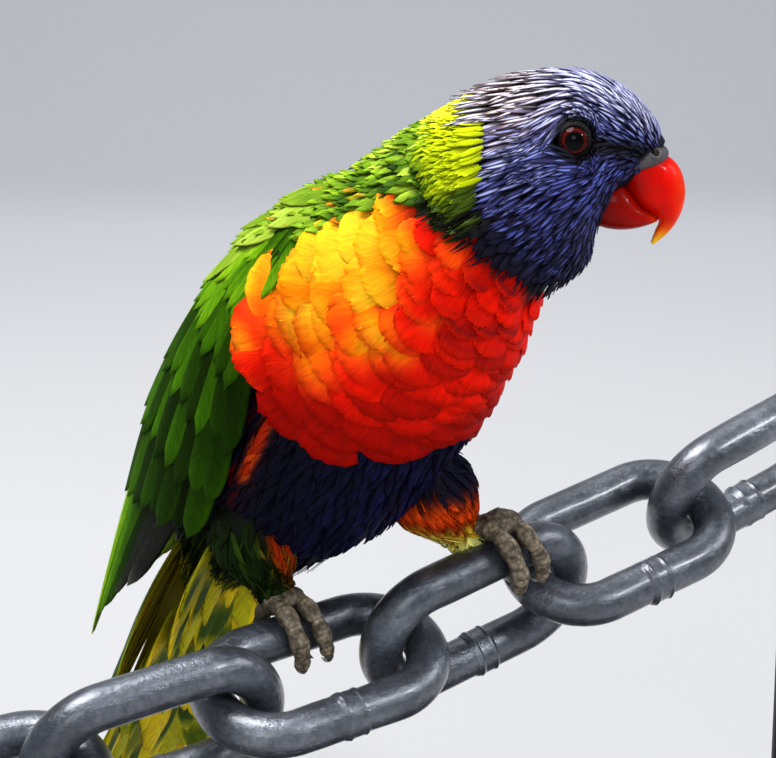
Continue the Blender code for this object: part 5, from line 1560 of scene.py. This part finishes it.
def makeFoot(side):
    number, distance, palmTurn, ankle, _ = legForm[side]
    along, hold = links[number][1], chainForm["wire"] / 2 + footForm["gap"]
    parts, tints = [], []

    # a point round the bar: angle from the palm's way, distance from the wire's centre line
    def wrap(alongBar, angle, radius):
        centre, outward, normal = barPoint(number, distance + alongBar)
        a = np.radians(angle + palmTurn)[:, None]
        return centre + np.reshape(radius, (-1, 1)) * (np.cos(a) * outward + np.sin(a) * normal)

    def addPart(rings, tone):
        parts.append(closedTube(rings))
        tints.append(capped(tone))

    # toes: a tube along the wrap with bulged joints, scutes above and pads below
    for toe, at, drift, first, last, size in toeForm:
        thick = footForm["toeRadius"] * size
        t, a = np.linspace(0, 1, 90), circle(32)
        centre = wrap(at + drift * t, first * 0.2 + (last - first * 0.2) * t, hold + thick * 1.10)
        up = unit(centre - barPoint(number, distance + at + drift * t)[0])
        t = t[:, None]
        radius = thick * np.interp(t, (0, 0.9, 0.97, 1), (1.0, 0.84, 0.68, 0.4))
        above, joints, ring = smooth(np.cos(a), -0.1, 0.7), np.cos(6 * math.pi * t), (t * 19 * size) % 1.0
        shape = radius * (0.95 + 0.10 * joints) + 0.11 * ring**1.5 * above
        shape = shape + 0.16 * joints * smooth(-np.cos(a), 0.0, 0.8)
        shape = shape + 0.05 * np.sin(9 * a + 40 * t) * (1 - above)
        shape = np.where(np.cos(a) < -0.5, np.minimum(shape, radius * 1.08), shape)
        # painted shade in the grooves between the scutes on top and on the toe's underside
        groove = (1 - smooth(ring, 0.0, 0.22)) * above
        shadeAndTone = np.clip(0.55 * groove + 0.25 * (1 - above), 0, 1)
        addPart(tubeRings(centre, shape, up), footTint((0.55 + 0.2 * np.sin(30 * t)) * above, shadeAndTone))
        # claw: a tapered hook on round the bar, keeled above and flat at the sides
        way, span, b = math.copysign(1, last - first), np.linspace(0, 1, 24), circle(20)
        place = at + drift * (1 + 0.1 * span)
        path = wrap(place, last - way * 3 + way * 46 * span, hold + thick * 1.05 + 1.0 - 1.3 * span)
        keel = 1 + 0.15 * np.cos(b) - 0.12 * np.abs(np.sin(b))
        keel = np.interp(span, (0, 0.15, 0.5, 1), (1.15, 1.2, 0.85, 0.12))[:, None] * keel
        rings = tubeRings(path, keel, unit(path - barPoint(number, distance + place)[0]))
        tone = mix(footForm["claw"], (0.24, 0.20, 0.18), smooth(0.4 - span, 0, 0.4)[:, None] + 0 * b)
        name = f"claw_{side}_{toe}"
        putTube(f"{name}_horn", rings, clawMaterial, tone, node=(name,), slot="claw")
    # palm: a soft pad over the bar, and the shank from it up to the ankle
    palmAt = wrap(np.zeros(1), np.zeros(1), hold + footForm["toeRadius"] + 0.7)[0]
    out = unit(palmAt - barPoint(number, np.array([distance]))[0][0])
    polar, a = np.linspace(0.02, math.pi - 0.02, 40)[:, None], circle(48)
    lump = 1 + 0.05 * np.sin(5 * a + 3 * polar) * np.sin(polar)
    local = np.stack([np.sin(polar) * np.cos(a) * 5.3, np.sin(polar) * np.sin(a) * 4.8,
                      np.cos(polar) * 2.9 + 0 * a], -1) * lump[..., None]
    addPart(local @ np.array([along, np.cross(out, along), out]) + palmAt, footTint(0.35 + 0 * lump, 0.15))
    t, a = np.linspace(-0.05, 1.25, 60)[:, None], circle(36)
    path = palmAt + (birdSpot(ankle) - palmAt) * t
    ring, front = (t * 9) % 1.0, smooth(np.sin(a), -0.2, 0.6)
    shape = footForm["shankRadius"] * np.interp(t, (0, 0.3, 0.8, 1.2), (1.35, 1.08, 1.0, 1.15))
    shape = shape + 0.16 * ring**1.5 * front + 0.05 * np.sin(11 * a + 25 * t) * (1 - front)
    # painted shade in the grooves between the rings on the front, and an even darker tone
    tone = footTint(0.4 * front + 0 * t, 0.5 * (1 - smooth(ring, 0, 0.2)) * front + 0.12)
    addPart(tubeRings(path, shape, np.broadcast_to(along, path.shape)), tone)
    points = [part[0] for part in parts]
    starts = np.cumsum([0] + [len(part) for part in points])
    faces = [part[1] + start for part, start in zip(parts, starts)]
    return putMesh(f"foot_{side}_skin", np.concatenate(points), np.concatenate(faces), footMaterial,
                   np.concatenate(tints), node=(f"foot_{side}",), slot="foot")


for side in ("left", "right"):
    makeFoot(side)
print("chain, stand and feet made")


# Bill, cere and eyes

billForm = {
    # top edge, bottom edge (forward and up of the eyes) and half width of each slice
    "upper": (
        (13.0, -4.4, 6.0, -8.0, 4.4), (18.6, -3.8, 10.4, -8.0, 5.2), (21.4, -4.8, 11.6, -10.4, 5.4),
        (23.4, -7.4, 13.0, -12.9, 5.3), (24.3, -11.0, 15.0, -15.1, 4.8), (24.1, -14.2, 17.2, -16.3, 4.0),
        (22.9, -17.6, 18.9, -17.9, 2.9), (20.9, -20.4, 18.3, -19.8, 1.6), (18.0, -23.0, 17.4, -22.4, 0.45),
    ),
    "lower": (
        (4.0, -8.6, 2.5, -17.0, 4.0), (10.0, -8.8, 6.4, -19.0, 4.9), (12.6, -10.6, 9.4, -19.7, 5.0),
        (14.4, -13.2, 12.4, -19.7, 4.6), (16.4, -15.0, 15.2, -19.2, 3.8), (17.9, -16.2, 17.3, -18.5, 2.7),
        (18.6, -17.3, 18.6, -17.9, 1.6),
    ),
    "red": (0.84, 0.04, 0.0), "orange": (0.98, 0.36, 0.0), "yellow": (1.0, 0.76, 0.16),
    "deep": (0.46, 0.02, 0.0),
}


# a mandible: slices in the head's middle plane, each an oval between its top and bottom edge
def makeMandible(part):
    at = np.linspace(0, len(billForm[part]) - 1, 90)
    row = spline(billForm[part], at)
    a = circle(72)
    top = np.stack([row[:, 0], 0 * at, row[:, 1]], -1)
    low = np.stack([row[:, 2], 0 * at, row[:, 3]], -1)
    up = np.sign(np.sin(a)) * np.abs(np.sin(a)) ** 0.94
    local = ((top + low) / 2)[:, None] + up[None, :, None] * ((top - low) / 2)[:, None]
    local[..., 1] += np.cos(a)[None, :] * np.maximum(row[:, 4], 0.1)[:, None]
    f, z = local[..., 0], local[..., 2]
    if part == "upper":
        colour = mix(billForm["red"], billForm["orange"], smooth(-z, 15.5, 20.5))
        colour = mix(colour, billForm["yellow"], smooth(-z, 18.6, 22.2))
        # darker on the underside: painted shade
        colour = mix(colour, billForm["deep"], 0.35 * smooth(-np.sin(a)[None, :] + 0 * f, 0.3, 1.0))
        # orange along the front edge: a painted rim of light
        colour = mix(colour, (0.97, 0.27, 0.03), 0.7 * smooth(f, 20.0, 24.3))
        colour = mix(colour, billForm["deep"], 0.45 * smooth(17.5 - f, 0, 5))
    else:
        colour = mix(billForm["deep"], billForm["red"], 0.05 + 0.5 * smooth(f, 7, 18))
        colour = mix(colour, billForm["orange"], 0.5 * smooth(f, 15.5, 18.6))
    name = f"bill_{part}"
    return putTube(f"{name}_horn", headSpot(local), billMaterial, colour, node=(name,), slot="bill")


makeMandible("upper")
makeMandible("lower")

cereForm = {
    "saddle": (
        (12.6, 5.2, -6.6), (14.6, 5.5, -5.4), (16.4, 4.9, -4.5), (18.2, 3.2, -3.9), (19.0, 0.0, -3.6),
        (18.2, -3.2, -3.9), (16.4, -4.9, -4.5), (14.6, -5.5, -5.4), (12.6, -5.2, -6.6),
    ),
    "thick": (0.6, 1.3, 1.75, 1.8, 1.7, 1.8, 1.75, 1.3, 0.6),
    "nostril": (17.5, 5.35, -3.0),
}


# the cere: a soft roll over the root of the bill, with a pit and a raised lip at each nostril
def makeCere():
    at = np.linspace(0, 8, 160)
    path = headSpot(spline(cereForm["saddle"], at))
    radius = spline(np.array(cereForm["thick"])[:, None], at)[:, 0]
    rings = tubeRings(path, np.repeat(radius[:, None], 48, 1), np.broadcast_to(headFore, path.shape))
    middle = path[:, None]
    edge = smooth(-np.sin(circle(48) + 0.9), 0.4, 1.0) + 0 * at[:, None]
    colour = mix((0.24, 0.23, 0.24), (0.48, 0.46, 0.48), edge)
    for side in (1, -1):
        place = headSpot((cereForm["nostril"][0], side * cereForm["nostril"][1], cereForm["nostril"][2]))
        far = np.linalg.norm(rings - place, axis=-1)
        push = 0.35 * bell(far, 1.35, 0.45) - 1.1 * smooth(1.15 - far, 0, 0.55)
        rings = rings + unit(rings - middle) * push[..., None]
        colour = mix(colour, (0.16, 0.05, 0.04), smooth(1.2 - far, 0, 0.5))
    return putTube("cere_skin", rings, cereMaterial, colour, node=("cere",), slot="cere")


makeCere()


# an eye: rings round its axis, with a bulged cornea over the iris; and the bare lid round it, a ring whose
# section rises from the ball to a beaded rim and falls away to the skin
def makeEye(side, hand):
    centre = headSpot((eyeForm["ahead"], hand * eyeForm["aside"], 0))
    axis = headSide * hand

    # places round the axis: height along it, away from it, at angles from the fore way
    def roundAxis(height, away, a):
        ways = np.cos(a)[:, None] * headFore + np.sin(a)[:, None] * np.cross(axis, headFore)
        return centre + height[..., None] * axis + away[..., None] * ways

    polar = np.concatenate([np.linspace(0, 1.1, 80), np.linspace(1.15, 3.05, 30)])[:, None]
    a = circle(96)
    radius = eyeForm["ball"] - 0.12 + 0.22 * bell(polar, 0, 0.62)
    away = np.sin(polar) * radius
    fine = 0.5 + 0.5 * np.sin(37 * a + 2 * np.sin(5 * a)) + 0 * away
    edge, pupil = eyeForm["iris"], eyeForm["pupil"] + 0.25
    iris = mix((0.20, 0.03, 0.028), (0.40, 0.085, 0.05), fine)
    iris = mix(iris, (0.10, 0.02, 0.02), smooth(2.35 - away, 0, 0.5))
    iris = mix(iris, (0.16, 0.02, 0.02), bell(away, edge, 0.35))
    iris = mix(iris, (0.02, 0.02, 0.03), smooth(away, edge - 0.05, edge + 0.2))
    iris = mix(iris, (0.012, 0.014, 0.016), smooth(pupil - away, 0, 0.25))
    putTube(f"eye_{side}_ball", roundAxis(np.cos(polar) * radius, away, a), eyeMaterial, iris,
            node=(f"eye_{side}",), slot="eye")
    # the lid's profile: distance from the axis, and height along it from the eye's centre
    across = np.array([2.98, 2.94, 2.99, 3.10, 3.24, 3.42, 3.62, 3.86, 4.06, 4.12, 3.95, 3.6, 3.2])
    level = np.array([2.36, 2.78, 2.94, 2.98, 2.92, 2.80, 2.60, 2.25, 1.6, 0.8, 0.4, 0.9, 1.8])
    bead = np.array([0, 0, 0.3, 1, 0.6, 0.9, 0.4, 0, 0, 0, 0, 0, 0])
    at = np.linspace(0, 12, 60)[:, None]
    across, level, bead = (spline(profile[:, None], at[:, 0]) for profile in (across, level, bead))
    b = circle(240)
    wave = np.cos(31 * b + 1.5 * np.sin(3 * b))
    height = level + 0.05 * np.clip(bead, 0, 1) * wave
    shade = smooth(wave, 0.3, 1.0) * bell(at, 6.2, 0.8)
    shade = np.maximum(shade, 0.8 * bell(b, 0.0, 0.22) * bell(at, 4.5, 1.6))
    colour = mix((0.015, 0.015, 0.022), (0.24, 0.23, 0.26), 0.45 * shade).reshape(-1, 3)
    points = roundAxis(height, across * (1 - 0.05 * np.cos(2 * b)), b).reshape(-1, 3)
    return putMesh(f"eyelid_{side}", points, outwards(points, gridFaces(60, 240, True, True)), skinMaterial,
                   colour, slot="blue_plumage")


for side, hand in (("left", 1), ("right", -1)):
    makeEye(side, hand)
print("bill, cere and eyes made")


# Floor, light and camera

# the lens comes from a focal length of 1957 px on a picture 776 px wide; the rest is in metres and degrees
stageForm = {
    "target": (0.0098, 0.0188, 0.1705), "distance": 0.490, "azimuth": 27.0, "drop": 12.0, "sensor": 36,
    "lens": 1957 / 776 * 36,
}


# the floor runs level and curves up far behind into a plain backdrop
def makeFloor():
    material, tree, shader = newMaterial("floorPaper", Specular_IOR_Level=0.2, Roughness=0.85)
    place = objectPlace(tree)
    fleck = noiseNode(tree, place, 3.0, 3.0)
    shade = blendNode(tree, "MIX", fleck, (0.38, 0.38, 0.395, 1), (0.42, 0.42, 0.43, 1))
    # lighter with distance up the backdrop: painted light on the far wall
    far = addNode(tree, "ShaderNodeVectorMath", {0: place, 1: (0.454, 0.891, 0.0)}, operation="DOT_PRODUCT")
    shade = blendNode(tree, "MIX", rangeNode(tree, far["Value"], 0.1, 1.6), shade, (0.74, 0.75, 0.78, 1))
    feed(tree, shader, {"Base Color": shade})
    mesh = bpy.data.meshes.new("floor")
    turn, yaw = np.linspace(0.1, math.pi / 2, 16), math.radians(stageForm["azimuth"])
    reach = np.concatenate([[-3.0, 2.0], 2.0 + 1.5 * np.sin(turn), [3.5]])
    height = np.concatenate([[0, 0], 1.5 * (1 - np.cos(turn)), [4.0]])
    rr, xx = gridOf(reach, np.linspace(-4, 4, 9))
    way = np.array([math.sin(yaw), math.cos(yaw), 0])
    side = np.array([way[1], -way[0], 0])
    points = rr[..., None] * way + xx[..., None] * side + height[:, None, None] * np.array([0, 0, 1.0])
    mesh.from_pydata(points.reshape(-1, 3).tolist(), [], gridFaces(len(reach), 9)[:, ::-1].tolist())
    mesh.materials.append(material)
    mesh.shade_smooth()
    floor = bpy.data.objects.new("floor", mesh)
    bpy.context.scene.collection.objects.link(floor)


def makeLight(name, place, size, power, colour=(1, 1, 1), aim=None):
    light = bpy.data.lights.new(name, "AREA")
    light.shape = "DISK"
    light.size, light.energy, light.color = size, power, colour
    lamp = bpy.data.objects.new(name, light)
    lamp.location = place
    lamp.rotation_mode = "QUATERNION"
    lamp.rotation_quaternion = (Vector(aim or stageForm["target"]) - Vector(place)).to_track_quat("-Z", "Y")
    bpy.context.scene.collection.objects.link(lamp)


def makeStage():
    scene = bpy.context.scene
    makeFloor()
    makeLight("skyPanel", (-0.45, 0.05, 1.30), 0.8, 29.0, (1.0, 0.99, 0.97))
    makeLight("eyeLight", (0.41, -0.78, 0.75), 0.12, 3.2)
    makeLight("backWash", (0.5, 1.3, 1.9), 1.8, 7.0, aim=(0.95, 2.3, 0.0))
    makeLight("frontFill", (-0.9, -1.3, 0.85), 0.8, 6.5)
    makeLight("rightEdge", (1.2, -0.6, 0.9), 0.6, 6.0)
    world = bpy.data.worlds.new("studio")
    world.use_nodes = True
    sky = world.node_tree.nodes["Background"].inputs
    feed(world.node_tree, sky, {"Color": (0.86, 0.90, 0.96, 1), "Strength": 0.42})
    scene.world = world
    scene.view_settings.view_transform = "Standard"
    yaw, drop = math.radians(stageForm["azimuth"]), math.radians(stageForm["drop"])
    look = Vector((math.sin(yaw) * math.cos(drop), math.cos(yaw) * math.cos(drop), -math.sin(drop)))
    data = bpy.data.cameras.new("camera")
    data.lens, data.sensor_width = stageForm["lens"], stageForm["sensor"]
    data.clip_start, data.clip_end = 0.01, 50
    camera = bpy.data.objects.new("camera", data)
    camera.rotation_mode = "QUATERNION"
    camera.location = Vector(stageForm["target"]) - look * stageForm["distance"]
    camera.rotation_quaternion = look.to_track_quat("-Z", "Y")
    scene.collection.objects.link(camera)
    scene.camera = camera


makeStage()
